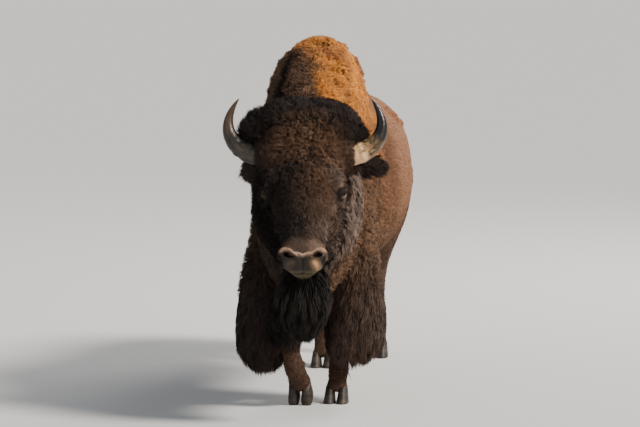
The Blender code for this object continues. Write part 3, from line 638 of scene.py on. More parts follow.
def wool_forms() -> Bodies:
    """The felted cores of the long masses of hair, which the tufts over them hide.

    Returns:
        The forms, each with its part.
    """
    half = 0.268
    bonnet = []
    for share in (-1.0, -0.93, -0.76, -0.42, 0.0, 0.42, 0.76, 0.93, 1.0):
        fall = abs(share)
        swell = math.sqrt(max(1 - fall**3.2, 0.03))
        at = by_head(half * share * 0.97, 0.075 - 0.010 * fall, -0.085)
        bonnet.append(station(at, 0.165 * swell, 0.172 * swell, 0.100 * swell, 2.15))
    beard = [
        station(by_head(0.0, rise, ahead), side, front, back)
        for rise, ahead, side, front, back in (
            (-0.420, 0.150, 0.096, 0.080, 0.190), (-0.520, 0.170, 0.108, 0.090, 0.230),
            (-0.610, 0.168, 0.110, 0.090, 0.220), (-0.690, 0.160, 0.094, 0.074, 0.150),
            (-0.730, 0.152, 0.060, 0.050, 0.080),
        )
    ]
    bib = stations(
        (0.052, -1.300, 0.690, 0.050, 0.060, 0.090), (0.048, -1.230, 0.670, 0.088, 0.100, 0.150),
        (0.038, -1.120, 0.655, 0.104, 0.120, 0.170), (0.022, -1.000, 0.640, 0.116, 0.120, 0.165),
        (0.010, -0.880, 0.620, 0.128, 0.120, 0.130), (0.005, -0.780, 0.610, 0.110, 0.100, 0.100),
    )
    masses = [
        (Part.CHAP, (
            (0.86, -0.735, -0.430, 0.180, 0.085), (0.76, -0.775, -0.395, 0.182, 0.116),
            (0.60, -0.785, -0.410, 0.188, 0.142), (0.42, -0.780, -0.440, 0.196, 0.160),
            (0.31, -0.765, -0.450, 0.192, 0.154), (0.255, -0.735, -0.475, 0.184, 0.120),
        ), 0.045),
        (Part.CHAP, (
            (0.86, -0.755, -0.460, -0.180, 0.085), (0.76, -0.810, -0.440, -0.182, 0.116),
            (0.60, -0.850, -0.470, -0.190, 0.144), (0.42, -0.875, -0.500, -0.202, 0.156),
            (0.28, -0.850, -0.515, -0.214, 0.138), (0.220, -0.810, -0.540, -0.215, 0.100),
        ), 0.045),
        (Part.BRISKET, (
            (0.66, -0.92, -0.52, 0.005, 0.150), (0.56, -0.95, -0.54, 0.005, 0.145),
            (0.46, -0.93, -0.58, 0.000, 0.120), (0.38, -0.87, -0.62, -0.010, 0.080),
        ), 0.040),
        (Part.TASSEL, (
            (0.610, 0.240, 0.380, 0.000, 0.056), (0.540, 0.225, 0.350, 0.000, 0.050),
            (0.490, 0.235, 0.320, 0.000, 0.034),
        ), 0.022),
        (Part.TAIL_TUFT, (
            (0.850, RUMP_Y + 0.036, RUMP_Y + 0.088, 0.012, 0.026),
            (0.740, RUMP_Y + 0.015, RUMP_Y + 0.103, 0.015, 0.046),
            (0.640, RUMP_Y + 0.009, RUMP_Y + 0.100, 0.016, 0.046),
            (0.580, RUMP_Y + 0.021, RUMP_Y + 0.080, 0.017, 0.030),
        ), 0.018),
    ]
    made = [
        (Part.BONNET, Form(bonnet, FORWARD, -ACROSS, 0.030)),
        (Part.BEARD, Form(beard, ACROSS, DOWN, 0.035)),
        (Part.BIB, Form(bib, along=BACKWARDS, coat=0.035)),
    ]
    for part, rows, coat in masses:
        made.append((part, Form(level_rows(rows, 2.2), along=DOWN, coat=coat)))
    return made


def all_forms() -> Bodies:
    """Every soft form of the body, each with its part.

    Returns:
        The forms, each with its part.
    """
    forms = trunk_forms() + head_forms() + swelling_forms()
    for leg in LEGS:
        forms += leg.forms()
    return forms + ear_and_tail_forms() + wool_forms()


# ------------ mesh helpers
def mesh_of(name: str, points: Array, faces: list | Array) -> Mesh:
    """A mesh from points in the animal's frame, moved into the model's frame.

    Args:
        name: its name.
        points: rows of three.
        faces: for each face the numbers of its points.

    Returns:
        The mesh.
    """
    mesh = bpy.data.meshes.new(name)
    faces = faces.tolist() if isinstance(faces, np.ndarray) else faces
    mesh.from_pydata((points + SHIFT).tolist(), [], faces)
    mesh.update()
    return mesh


def joined(bodies: Iterable[tuple[Array, list]]) -> tuple[Array, list]:
    """The points and the faces of several bodies as those of one.

    Args:
        bodies: the points and the faces of each.

    Returns:
        Its points and its faces.
    """
    points, faces, start = [], [], 0
    for some, around in bodies:
        points.append(some)
        faces += [[k + start for k in face] for face in around]
        start += len(some)
    return np.vstack(points), faces


def triangle_mesh(name: str, points: Array, triangles: Array) -> Mesh:
    """A large mesh of triangles, written whole array by whole array.

    Args:
        name: its name.
        points: rows of three.
        triangles: rows of three point numbers.

    Returns:
        The mesh.
    """
    mesh = bpy.data.meshes.new(name)
    mesh.vertices.add(len(points))
    mesh.vertices.foreach_set("co", (points + SHIFT).astype(np.float32).ravel())
    mesh.loops.add(triangles.size)
    mesh.loops.foreach_set("vertex_index", triangles.astype(np.int32).ravel())
    mesh.polygons.add(len(triangles))
    mesh.polygons.foreach_set("loop_start", np.arange(0, triangles.size, 3, dtype=np.int32))
    mesh.update(calc_edges=True)
    return mesh


def linked(name: str, data: bpy.types.ID) -> Object:
    """An object of that mesh, lamp or camera in the scene.

    Args:
        name: its name.
        data: the mesh, lamp or camera.

    Returns:
        The object.
    """
    obj = bpy.data.objects.new(name, data)
    bpy.context.scene.collection.objects.link(obj)
    return obj


def fuse(obj: Object, grain: float) -> None:
    """Has a modifier make one closed body of all that an object holds.

    Args:
        obj: the object.
        grain: the size of its cells.
    """
    remesh = obj.modifiers.new("Fuse", "REMESH")
    remesh.mode = "VOXEL"
    remesh.voxel_size = grain


def settled(obj: Object) -> Mesh:
    """The mesh that an object's modifiers make.

    Args:
        obj: the object.

    Returns:
        A mesh of its own.
    """
    bpy.context.view_layer.update()
    graph = bpy.context.evaluated_depsgraph_get()
    return bpy.data.meshes.new_from_object(obj.evaluated_get(graph))


def fields(items: bpy.types.bpy_prop_collection, what: str, width: int, kind: type = np.float32) -> Array:
    """One field of every item, read as a whole.

    Args:
        items: vertices, edges or the like.
        what: the field.
        width: how many numbers each item has in it.
        kind: their type.

    Returns:
        A row for each item.
    """
    flat = np.empty(len(items) * width, kind)
    items.foreach_get(what, flat)
    return flat.reshape(-1, width)


def points_of(mesh: Mesh, what: str = "co") -> Array:
    """Every vertex's place, or its normal, as rows; places come back in the animal's frame."""
    rows = fields(mesh.vertices, what, 3).astype(float)
    return rows - SHIFT if what == "co" else rows


def edges_of(mesh: Mesh) -> Array:
    """Every edge's two vertices, as rows."""
    return fields(mesh.edges, "vertices", 2, np.int32)


def relaxed(points: Array, edges: Array, passes: int, weight: float | Array = 0.5) -> Array:
    """Moves each point towards the mean of its neighbours.

    Args:
        points: rows of places, or of any other numbers.
        edges: pairs of neighbours.
        passes: how often.
        weight: how far each point goes, from 0 to 1.

    Returns:
        The smoothed rows.
    """
    a, b = edges.T
    count = np.maximum(np.bincount(np.concatenate([a, b]), minlength=len(points)), 1)
    for _ in range(passes):
        total = [
            np.bincount(a, column[b], len(points)) + np.bincount(b, column[a], len(points))
            for column in points.T
        ]
        points = points + (np.stack(total, axis=1) / count[:, None] - points) * np.reshape(weight, (-1, 1))
    return points


def paint(mesh: Mesh, name: str, colours: Array) -> None:
    """Writes a colour for each vertex as an attribute.

    Args:
        mesh: the mesh.
        name: the attribute.
        colours: rows of red, green and blue in linear light, or one for all, or a column of grey.
    """
    layer = mesh.color_attributes.new(name, "FLOAT_COLOR", "POINT")
    rows = np.ones((len(mesh.vertices), 4), np.float32)
    rows[:, :3] = np.clip(colours, 0, 1)
    layer.data.foreach_set("color", rows.ravel())


def shown(mesh: Mesh, name: str = "") -> Object:
    """An object of a mesh in the scene, with the shading of every face rounded."""
    mesh.polygons.foreach_set("use_smooth", np.ones(len(mesh.polygons), bool))
    return linked(name or mesh.name, mesh)


# ------------ markings
def nostril_places(points: Array, side: int) -> tuple[Array, Array]:
    """How points lie about a nostril: a slanting slot, wider at its outer end, which is higher.

    Args:
        points: rows of three.
        side: 1 for the left nostril, -1 for the right.

    Returns:
        Each point's radius, 1 on the nostril's edge, and how far it lies below its long axis.
    """
    along, out, _ = head_places(points)
    o, a = out * side - NOSTRIL_OUT, along - NOSTRIL_ALONG
    lengthwise, below = o * 0.95 - a * 0.31, o * 0.31 + a * 0.95
    width = 0.0135 * (1 + 0.35 * np.clip(lengthwise / 0.029, -1, 1))
    return np.hypot(lengthwise / 0.029, below / width), below


def nose_edge(points: Array) -> Array:
    """1 along the level edge between the nostrils, where the top of the nose turns to its front.

    Args:
        points: rows of three.

    Returns:
        A share for each point.
    """
    along, out, proud = head_places(points)
    edge = bell(along - 0.521 - 0.004 * np.cos(out * 110), 0.0, 0.0045)
    return edge * ramp(np.abs(out), 0.060, 0.042) * ramp(proud, -0.06, -0.03)


def cleft(points: Array) -> Array:
    """How far points lie left of the deep fold on the hump's right side, in widths of the fold."""
    x, _, z = points.T
    return (x + noise(points, 0.09, 15) * 0.010 + 0.096 + 0.148 * (1.56 - z)) / 0.022


def cleft_reach(points: Array) -> Array:
    """1 on the stretch of the hump's front that the fold runs down, 0 away from it."""
    _, y, z = points.T
    return ramp(y, -0.34, -0.46) * ramp(z, 1.24, 1.30) * ramp(z, 1.64, 1.59)


def pits(points: Array, reach: float = 1.0) -> Array:
    """1 in the pits and cracks of the felted wool: round spots about some seeds, and winding lines.

    Args:
        points: rows of three.
        reach: how many times wider than themselves they count.

    Returns:
        A share for each point.
    """
    gap, names = seeds_near(points, 0.072, 71)
    size = (0.014 + 0.015 * (names % 997) / 997) * reach
    spots = ramp(gap / size, 1.15, 0.75) * (names % 2 == 0)
    off = np.abs(noise(points, 0.13, 73)) / (0.05 * reach)
    cracks = ramp(off, 1.3, 0.4) * ramp(noise(points, 0.16, 74), 0.10, 0.35)
    return np.maximum(spots, cracks)


def clods(points: Array) -> Array:
    """Height of the loose clods of wool on the left of the cape, from 0 to about 1.

    They lie along a line that falls from beside the hump's top to the loin.

    Args:
        points: rows of three.

    Returns:
        A share for each point.
    """
    x, y, z = points.T
    off = z - (1.45 - 0.54 * y) + noise(points, 0.12, 16) * 0.03
    band = bell(off, 0.0, 0.050) * ramp(x, 0.03, 0.07) * ramp(y, -0.46, -0.38) * ramp(y, 0.56, 0.46)
    return np.clip(noise(points, 0.045, 17) * 1.8 + noise(points, 0.022, 18) * 0.8, 0, 1) * band


def dark_rim(points: Array) -> Array:
    """0 on the brown front of the topknot, 1 on the dark rim round it.

    Args:
        points: rows of three.

    Returns:
        A share for each point.
    """
    _, out, _ = head_places(points)
    rough = noise(points, 0.05, 19) * 0.05
    reach = np.hypot((out - 0.005) / 0.205, (points[:, 2] - 1.215) / 0.155) + rough
    return ramp(reach, 0.90, 1.06)


@dataclass(frozen=True)
class Markings:
    """The colours of the animal by place, shared by skin and coat."""

    gold: Array = tint(214, 143, 64)
    flap: Array = tint(86, 68, 54)
    amber: Array = tint(160, 105, 62)
    rust: Array = tint(124, 74, 47)
    umber: Array = tint(26, 21, 19)
    patch: Array = tint(92, 69, 55)
    rear: Array = tint(136, 96, 70)
    rump: Array = tint(126, 88, 60)
    rear_low_shade: Array = tint(88, 62, 44)
    chestnut: Array = tint(108, 75, 52)
    ruff: Array = tint(92, 67, 50)
    elbow: Array = tint(96, 72, 56)
    chap: Array = tint(66, 52, 44)
    near_black_and_shade: Array = tint(31, 26, 24)
    bonnet: Array = tint(42, 34, 31)
    crown: Array = tint(110, 82, 63)
    brow: Array = tint(78, 58, 45)
    mask: Array = tint(76, 61, 51)
    cheek: Array = tint(113, 95, 85)
    jaw: Array = tint(94, 79, 71)
    bridge: Array = tint(76, 60, 50)
    pad: Array = tint(40, 33, 28)
    rim: Array = tint(206, 168, 140)
    lobe: Array = tint(206, 160, 112)
    lip: Array = tint(76, 66, 50)
    painted_shade: Array = tint(16, 11, 10)
    lower_lid: Array = tint(158, 130, 110)
    beard: Array = tint(27, 23, 20)
    shank: Array = tint(74, 53, 41)
    ear: Array = tint(46, 37, 32)
    tail: Array = tint(50, 37, 29)

    def trunk(self, points: Array) -> Array:
        """Cape, shoulders, belly and rump.

        The cape is gold on its crest and its left, with an umber patch over the front of the hump. It
        gives way downwards to chestnut and then to the dark of the elbows, and backwards to the short
        tan coat. Painted shade lies in the deep fold on the hump's right, over the right side's lower
        front and on the lower rear.

        Args:
            points: rows of three.

        Returns:
            A colour for each point.
        """
        x, y, z = points.T
        rough = noise(points, 0.16, 3) * 0.05 + noise(points, 0.05, 4) * 0.025
        fold, loose = cleft(points), np.clip(clods(points) * 2.0, 0, 0.85)
        edge = -0.055 - 0.41 * (y + 0.55)
        fore = layered(
            self.gold,
            (self.amber, ramp(noise(points, 0.06, 5), -0.25, 0.8)),
            (self.amber, ramp(z + rough, 1.50, 1.20) * 0.7),
            (self.patch, ramp(x + rough, edge + 0.035, edge - 0.03) * ramp(y + rough, -0.44, -0.58)),
            (self.flap, ramp(fold, -0.2, -0.8) * 0.85),
            # Painted shade: the deep fold on the hump's right is near black, as shade in the crease.
            (self.umber, bell(fold) * cleft_reach(points)),
            (self.rust, loose),
            (self.rust, ramp(z + rough, 1.60, 1.70) * 0.40),
            (self.chestnut, ramp(z + rough - 0.60 * (y + 0.5), 1.20, 0.98)),
            (self.ruff, ramp(y + rough, -0.34, -0.46) * ramp(z + rough, 1.20, 1.04)),
            (self.elbow, ramp(z + rough * 1.5, 0.92, 0.64)),
        )
        # Painted shade over the right side's lower front.
        lower_front_shade = ramp(z + rough, 1.05, 0.80) * ramp(y, -0.55, -0.75)
        return layered(
            self.rear,
            (self.rump, ramp(y + rough * 2, 0.30, 0.95)),
            # Painted shade: the lower rear is darker.
            (self.rear_low_shade, ramp(z + rough, 1.05, 0.62)),
            (self.rust, loose),
            (layered(fore, (self.shaded(fore, points), lower_front_shade)), ramp(y + rough * 1.5, 0.10, -0.16)),
        )

    def neck(self, points: Array) -> Array:
        """Chestnut above and nearly black under the throat, with painted shade on the right side.

        Args:
            points: rows of three.

        Returns:
            A colour for each point.
        """
        z = points[:, 2] + noise(points, 0.09, 7) * 0.04
        colour = layered(
            self.patch,
            (self.chestnut, ramp(z, 1.44, 1.28)),
            (self.ruff, ramp(z, 1.24, 1.08)),
            (self.chap, ramp(z, 0.86, 0.70)),
        )
        return self.shaded(self.by_cheek(colour, points), points)

    def by_cheek(self, colour: Array, points: Array) -> Array:
        """Colours with the dark hair that the head carries behind its cheeks and under its jaw, painted
        darker on the right side as shade.

        Args:
            colour: the colours so far.
            points: rows of three.

        Returns:
            A colour for each point.
        """
        along, out, proud = head_places(points)
        reach = np.hypot(np.abs(out), np.minimum(proud + 0.08, 0) * 0.9)
        near = ramp(reach + noise(points, 0.05, 9) * 0.02, 0.335, 0.285) * ramp(along, 0.52, 0.46)
        # Painted shade: the hair here is 0.50 of the jaw's colour on the right and up to 0.76 on the left.
        side = self.jaw * (0.50 + 0.26 * ramp(out, 0.0, 0.10))[:, None]
        return layered(colour, (side, near * ramp(along, -0.16, -0.08)))

    def shaded(self, colour: Array, points: Array) -> Array:
        """Colours the right side's neck, chaps and elbow with painted shade: near black laid over them."""
        return layered(colour, (self.near_black_and_shade, ramp(points[:, 0], 0.02, -0.10) * 0.72))

    def head(self, points: Array) -> Array:
        """Brown curls on the forehead, a darker face, grey cheeks, a brown bridge and a bare nose.

        Some of it is painted light: the left cheek's paler grey, the lighter left side of the bridge, and
        the nose's pale edge and rims, which are pale skin made paler. Painted shade darkens the middle and
        right of the face, the right side of the bare nose and the nostrils, and the right lobe and lower
        lid show less of their pale colour.

        Args:
            points: rows of three.

        Returns:
            A colour for each point.
        """
        along, out, proud = head_places(points)
        rough = noise(points, 0.045, 6)
        low = ramp(along + rough * 0.05, 0.22, 0.42) * 0.85
        # Painted shade over the middle and right of the face, below the forehead.
        face_shade = ramp(out + rough * 0.05, 0.062, -0.030) * ramp(along, -0.02, 0.14) * 0.88
        level = ramp(np.abs(out), 0.112, 0.085) * ramp(proud, -0.055, -0.020)
        # Painted highlight: the bridge is twice as light on its left side.
        bridge = layered(self.bridge, (self.bridge * 2.0, ramp(out + rough * 0.06, -0.02, 0.06)))
        wet = ramp(along, 0.505, 0.522) * ramp(proud, -0.10, -0.08)
        colour = layered(
            self.crown,
            (self.brow, ramp(along + rough * 0.06, 0.04, 0.26)),
            (self.mask, np.maximum(low, ramp(np.abs(out) + rough * 0.05, 0.07, 0.20))),
            # Painted sheen: only the left cheek takes this paler grey, as light catching its hair.
            (self.cheek, ramp(out + rough * 0.05, 0.080, 0.145)),
            (self.jaw, ramp(np.abs(out) - 0.4 * proud, 0.22, 0.29)),
            (self.mask * 0.7, ramp(proud + rough * 0.04, -0.155, -0.235) * 0.75),
            # Painted shade: the face's middle and right side are darker still.
            (self.near_black_and_shade, np.maximum(face_shade, ramp(out, 0.0, -0.15) * 0.70)),
            (self.bonnet, dark_rim(points) * ramp(points[:, 2], 1.20, 1.26)),
            (bridge, ramp(along + 0.02 * rough, 0.425, 0.470) * level),
            (self.pad, wet),
            # Painted shade over the right side of the bare nose.
            (self.painted_shade, wet * ramp(out, -0.010, -0.045) * 0.55),
            (self.lip, ramp(along, 0.567, 0.573) * ramp(proud, -0.018, -0.028)),
            (self.beard, ramp(proud, -0.085, -0.105) * ramp(along, 0.38, 0.44)),
            # The pale edge between the nostrils: pale skin, made paler as a painted highlight.
            (self.rim, nose_edge(points) * 0.85),
        )
        # lit and pale are how much of the lobe's tan and the lower lid's pale folds show on each side: less
        # on the right, as painted shade.
        for side, lit, pale in ((1, 0.62, 1.0), (-1, 0.08, 0.4)):
            radius, below = nostril_places(points, side)
            # wing: the pale rim round each nostril, pale skin made paler as a painted highlight.
            wing = bell(radius, 1.30, 0.30) * ramp(below, 0.000, -0.007)
            lobe = np.hypot((out * side - 0.057) / 0.020, (along - 0.554) / 0.015)
            gap = points - eye_centre(side)
            _, axis, slit, lift = eye_frame(side)
            lid = np.hypot((gap @ slit) / 0.023, (gap @ lift + 0.0145) / 0.0055)
            tuft = np.hypot((gap @ slit - 0.012) / 0.013, (gap @ lift - 0.040) / 0.020)
            colour = layered(
                colour,
                (self.rim, wing * ramp(proud, -0.06, -0.03)),
                # Painted shade inside the nostril.
                (self.painted_shade, ramp(radius, 1.05, 0.80) * ramp(proud, -0.08, -0.05)),
                (self.lobe, ramp(lobe, 1.7, 0.1) * lit),
                (self.near_black_and_shade, ramp(np.linalg.norm(gap, axis=1), 0.046, 0.030) * 0.9),
                (self.lower_lid, ramp(lid, 1.2, 0.5) * (gap @ axis > 0) * pale),
                (self.lower_lid, ramp(tuft, 1.1, 0.3) * 0.6 * pale),
            )
        return colour

    def knot(self, points: Array) -> Array:
        """The topknot and the hair round the horns: brown in front, with a dark rim, and painted shade on
        the right side.

        Args:
            points: rows of three.

        Returns:
            A colour for each point.
        """
        _, out, _ = head_places(points)
        return layered(
            self.crown,
            (self.brow, ramp(np.abs(out), 0.09, 0.17)),
            (self.bonnet, dark_rim(points)),
            # Painted shade on the topknot's right side.
            (self.near_black_and_shade, ramp(out, 0.02, -0.17) * 0.60),
        )

    def leg(self, points: Array) -> Array:
        """Reddish brown below, and as the trunk above."""
        return layered(self.trunk(points), (self.shank, ramp(points[:, 2], 0.66, 0.42)))

    def foreleg(self, points: Array) -> Array:
        """Nearly black down to the knee, and reddish brown below.

        Args:
            points: rows of three.

        Returns:
            A colour for each point.
        """
        z = points[:, 2]
        above = self.chaps(points)
        return layered(above, (self.near_black_and_shade, ramp(z, 0.60, 0.45)), (self.shank, ramp(z, 0.36, 0.27)))

    def chaps(self, points: Array) -> Array:
        """The elbow's brown, darkening downwards, with painted shade on the right side.

        Args:
            points: rows of three.

        Returns:
            A colour for each point.
        """
        z = points[:, 2] + noise(points, 0.08, 8) * 0.05
        above = self.trunk(points)
        colour = layered(above, (self.elbow, ramp(z, 1.00, 0.80)), (self.chap, ramp(z, 0.82, 0.52)))
        return self.shaded(colour, points)

    def colours(self, points: Array, parts: Array) -> Array:
        """The markings at every point.

        Args:
            points: places in the animal's frame.
            parts: for each the number of its part.

        Returns:
            Rows of linear red, green and blue.
        """
        plain = {
            Part.EAR: self.ear, Part.TAIL: self.rear, Part.TAIL_TUFT: self.tail, Part.BEARD: self.beard,
            Part.BRISKET: self.near_black_and_shade, Part.BIB: self.beard, Part.TASSEL: self.tail,
        }
        by_place = {
            Part.FACE: self.head, Part.CHEEK: self.head, Part.MUZZLE: self.head, Part.NECK: self.neck,
            Part.HIND_LEG: self.leg, Part.SHANK: self.leg, Part.FORELEG: self.foreleg,
            Part.CHAP: self.chaps, Part.CUFF: self.knot, Part.BONNET: self.knot,
        }
        made = self.trunk(points)
        for part in Part:
            here = parts == part
            if part in plain:
                made[here] = plain[part]
            elif part in by_place and here.any():
                made[here] = by_place[part](points[here])
        return made


# ------------ the skin
class Skin:
    """The one skin of the animal: its forms fused, softened and then carved at the head.

    Attributes:
        mesh: the skin's mesh.
        points: every vertex, in the animal's frame.
        normals: its outward direction.
        triangles: the skin's triangles.
        parts: for each vertex the number of its part.
        colours: its marking.
        depth: how deep the coat is over it.
    """

    def __init__(self, markings: Markings) -> None:
        """Makes the skin and all that is known about its vertices.

        Args:
            markings: the colours by place.
        """
        self.forms = all_forms()
        self.mesh = self.fused()
        self.refine()
        self.points = points_of(self.mesh)
        self.parts = self.parts_at(self.points)
        self.edges = edges_of(self.mesh)
        self.carve()
        self.normals = points_of(self.mesh, "normal")
        self.triangles = self.triangle_rows()
        colours = markings.colours(self.points, self.parts)
        self.colours = relaxed(colours, self.edges, 6)
        self.depth = self.coat_depth()

    def fused(self) -> Mesh:
        """All forms as one closed body, softened where they run together.

        Returns:
            The mesh.
        """
        obj = linked("skin_blank", mesh_of("skin_blank", *joined(form.mesh() for _, form in self.forms)))
        fuse(obj, SKIN_GRAIN)
        soften = obj.modifiers.new("Soften", "SMOOTH")
        soften.factor = 0.5
        soften.iterations = 9
        mesh = settled(obj)
        bpy.data.objects.remove(obj)
        return mesh

    def refine(self) -> None:
        """Cuts the faces round the eyes and on the muzzle finer, twice, and rounds them."""
        for reach in (1.0, 0.8):
            bm = bmesh.new()
            bm.from_mesh(self.mesh)
            bm.faces.ensure_lookup_table()
            middles = np.array([f.calc_center_median() for f in bm.faces]) - SHIFT
            fine = self.fine_zone(middles, reach)
            edges = {e for f, chosen in zip(bm.faces, fine) if chosen for e in f.edges}
            bmesh.ops.subdivide_edges(bm, edges=list(edges), cuts=1, use_grid_fill=True)
            bmesh.ops.triangulate(bm, faces=[f for f in bm.faces if len(f.verts) > 4])
            bm.to_mesh(self.mesh)
            bm.free()
            points = points_of(self.mesh)
            weight = self.fine_zone(points, reach * 1.05) * 0.5
            points = relaxed(points, edges_of(self.mesh), 3, weight)
            self.place(points)

    @staticmethod
    def fine_zone(points: Array, reach: float) -> Array:
        """Which points lie near an eye or on the muzzle.

        Args:
            points: rows of three.
            reach: how wide the zones are, as a share.

        Returns:
            True for those points.
        """
        along, out, proud = head_places(points)
        near = (along > 0.40 + 0.02 * (1 - reach)) & (along < 0.65) & (np.abs(out) < 0.14)
        near &= proud > -0.14
        for side in SIDES:
            near |= eye_gap(points, side) < 0.085 * reach
        return near

    def place(self, points: Array) -> None:
        """Moves the mesh's vertices to points of the animal's frame.

        Args:
            points: rows of three.
        """
        self.mesh.vertices.foreach_set("co", (points + SHIFT).astype(np.float32).ravel())
        self.mesh.update()
        self.points = points

    def parts_at(self, points: Array) -> Array:
        """The part whose form each point lies on: the one that it is least outside of.

        Args:
            points: rows of three.

        Returns:
            The number of a part for each point.
        """
        best = np.full(len(points), np.inf)
        parts = np.zeros(len(points), int)
        for part, form in self.forms:
            gap = np.abs(form.gap(points))
            nearer = gap < best
            best[nearer] = gap[nearer]
            parts[nearer] = part
        along, _, _ = head_places(points)
        parts[np.isin(parts, (Part.FACE, Part.CHEEK)) & (along > 0.40)] = Part.MUZZLE
        return parts

    def carve(self) -> None:
        """Lids round the eyes, nostrils, the mouth, and lumps in the felted wool."""
        points, normals = self.points, points_of(self.mesh, "normal")
        woolly = np.isin(self.parts, (Part.RIDGE, Part.NECK, Part.BONNET))
        woolly = relaxed(woolly[:, None] * 1.0, self.edges, 8)[:, 0]
        lumps = noise(points, 0.070, 11) * 0.009 + noise(points, 0.030, 12) * 0.004
        fold = cleft(points)
        lumps = lumps - 0.016 * bell(fold) * cleft_reach(points) - 0.007 * pits(points)
        loose = np.clip(noise(points, 0.040, 13) * 1.4 + 0.3, 0, 1) * ramp(fold, -0.8, -2.0)
        lumps = lumps + 0.026 * loose * cleft_reach(points)
        push = lumps * woolly * ramp(points[:, 1], 0.45, 0.1)
        push = push + 0.027 * clods(points) * np.isin(self.parts, (Part.BARREL, Part.RIDGE))
        points = points + normals * push[:, None]
        for side in SIDES:
            points = self.lidded(points, side)
        points = self.nosed(points, normals)
        self.place(points)

    def lidded(self, points: Array, side: int) -> Array:
        """Draws the skin over an eye's ball, apart from an almond that shows it, with folds around.

        A fold has a height, a distance from the almond's edge, a width, and where it fades out.

        Args:
            points: rows of three.
            side: 1 for the left, -1 for the right.

        Returns:
            The points, moved.
        """
        centre, axis, slit, lift = eye_frame(side)
        q = points - centre
        reach = np.linalg.norm(q, axis=1)
        x, y, z = q @ slit, q @ lift, q @ axis
        flat = np.hypot(x, y)
        near = (reach < 0.075) & (z > -0.012)
        half = np.sqrt(np.clip(1 - (x / 0.0175) ** 2, 0, 1))
        top, low = 0.0072 * half, 0.0078 * half
        inside = (y < top) & (y > -low) & (np.abs(x) < 0.0175) & (z > 0)
        cover = EYE_RADIUS + 0.0030
        hold = ramp(flat, 0.036, 0.018)
        target = reach * (1 - hold) + cover * hold
        above, below = y - top, -low - y
        for beyond, height, middle, width, start, end in (
            (above, 0.0042, 0.0110, 0.0045, 0.036, 0.022),
            (above, -0.0020, 0.0055, 0.0020, 0.034, 0.022),
            (below, 0.0035, 0.0075, 0.0040, 0.036, 0.022),
            (below, -0.0025, 0.0145, 0.0022, 0.040, 0.026),
        ):
            target = target + height * bell(beyond, middle, width) * ramp(flat, start, end)
        target = np.where(inside, EYE_RADIUS - 0.004, target)
        moved = centre + q * (target / np.maximum(reach, 1e-6))[:, None]
        return np.where(near[:, None], moved, points)

    @staticmethod
    def nosed(points: Array, normals: Array) -> Array:
        """Nostrils with raised rims, the groove under the nose, and the mouth's line.

        Args:
            points: rows of three.
            normals: the skin's outward directions there.

        Returns:
            The points, moved.
        """
        along, out, proud = head_places(points)
        push = np.zeros(len(points))
        on_muzzle = (along > 0.38) & (proud > -0.16) & (np.abs(out) < 0.16)
        front = ramp(proud, -0.085, -0.050)
        for side in SIDES:
            radius, below = nostril_places(points, side)
            push -= 0.032 * ramp(radius, 1.05, 0.40) * front
            ring = bell(radius, 1.35, 0.32) * front
            push += ring * (0.0010 + 0.0090 * ramp(below, 0.004, -0.008))
            lobe = np.hypot((out * side - 0.050) / 0.024, (along - 0.557) / 0.018)
            push += 0.0070 * ramp(lobe, 1.0, 0.0) * front
        push -= 0.0050 * (bell(out, 0.0, 0.0045) * ramp(along, 0.510, 0.540) * front)
        push -= 0.0045 * bell(out, 0.0, 0.020) * ramp(along, 0.520, 0.535) * front
        push += 0.0050 * nose_edge(points)
        line = -0.046 - 0.30 * np.clip(0.560 - along, 0, 1)
        push -= 0.0095 * (bell(proud - line, 0.0, 0.0042) * ramp(along, 0.40, 0.50))
        push += 0.004 * (bell(proud - line, -0.016, 0.009) * ramp(along, 0.50, 0.56))
        moved = points + normals * np.where(on_muzzle, push, 0.0)[:, None]
        chin = ramp(along, 0.42, 0.50) * ramp(proud - line, 0.004, -0.018) * (proud > -0.16)
        return moved - ACROSS * (out * 0.36 * chin * on_muzzle)[:, None]

    def triangle_rows(self) -> Array:
        """The skin's faces as triangles."""
        self.mesh.calc_loop_triangles()
        return fields(self.mesh.loop_triangles, "vertices", 3, np.int32)

    def coat_depth(self) -> Array:
        """How far the solid model's surface stands off the skin along its normals.

        The solids of flesh are fused into one shell. A Shrinkwrap modifier carries the skin out to it,
        and the distance that each vertex went is the depth.

        Returns:
            A depth for each vertex, in metres.
        """
        shell = bpy.data.meshes.new("shell")
        bm = bmesh.new()
        for name in FLESH:
            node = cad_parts[name]
            piece = node.data.copy()
            piece.transform(node.matrix_world)
            bm.from_mesh(piece)
            bpy.data.meshes.remove(piece)
        bm.to_mesh(shell)
        bm.free()
        target = linked("shell", shell)
        fuse(target, SHELL_GRAIN)
        probe = linked("probe", self.mesh.copy())
        wrap = probe.modifiers.new("Wrap", "SHRINKWRAP")
        wrap.target = target
        wrap.wrap_method = "PROJECT"
        wrap.use_project_z = wrap.use_project_x = wrap.use_project_y = False
        wrap.use_positive_direction = True
        wrap.use_negative_direction = False
        wrap.project_limit = COAT_REACH
        reached = points_of(settled(probe))
        for obj in (probe, target):
            bpy.data.objects.remove(obj)
        depth = np.linalg.norm(reached - self.points, axis=1)[:, None]
        depth = relaxed(depth, self.edges, 12)[:, 0]
        return np.clip(depth, 0.0, DEEPEST_COAT)


# ------------ finishes
def dialled(node: bpy.types.Node, values: dict[str, float | tuple]) -> bpy.types.Node:
    """A node with its inputs set to those values.

    Args:
        node: the node.
        values: the value of each input.

    Returns:
        The same node.
    """
    for socket, value in values.items():
        node.inputs[socket].default_value = value
    return node


def node(tree: bpy.types.NodeTree, kind: str, values: dict[str, float] | None = None) -> bpy.types.Node:
    """A new shader node of that kind, with its inputs set."""
    return dialled(tree.nodes.new("ShaderNode" + kind), values or {})


def surface(name: str, values: dict[str, float | tuple]) -> tuple[Material, bpy.types.Node]:
    """A new material and its plain shader, with the shader's inputs set.

    Args:
        name: its name.
        values: the value of each input.

    Returns:
        The material and its shader.
    """
    made = bpy.data.materials.new(name)
    made.use_nodes = True
    return made, dialled(made.node_tree.nodes["Principled BSDF"], values)


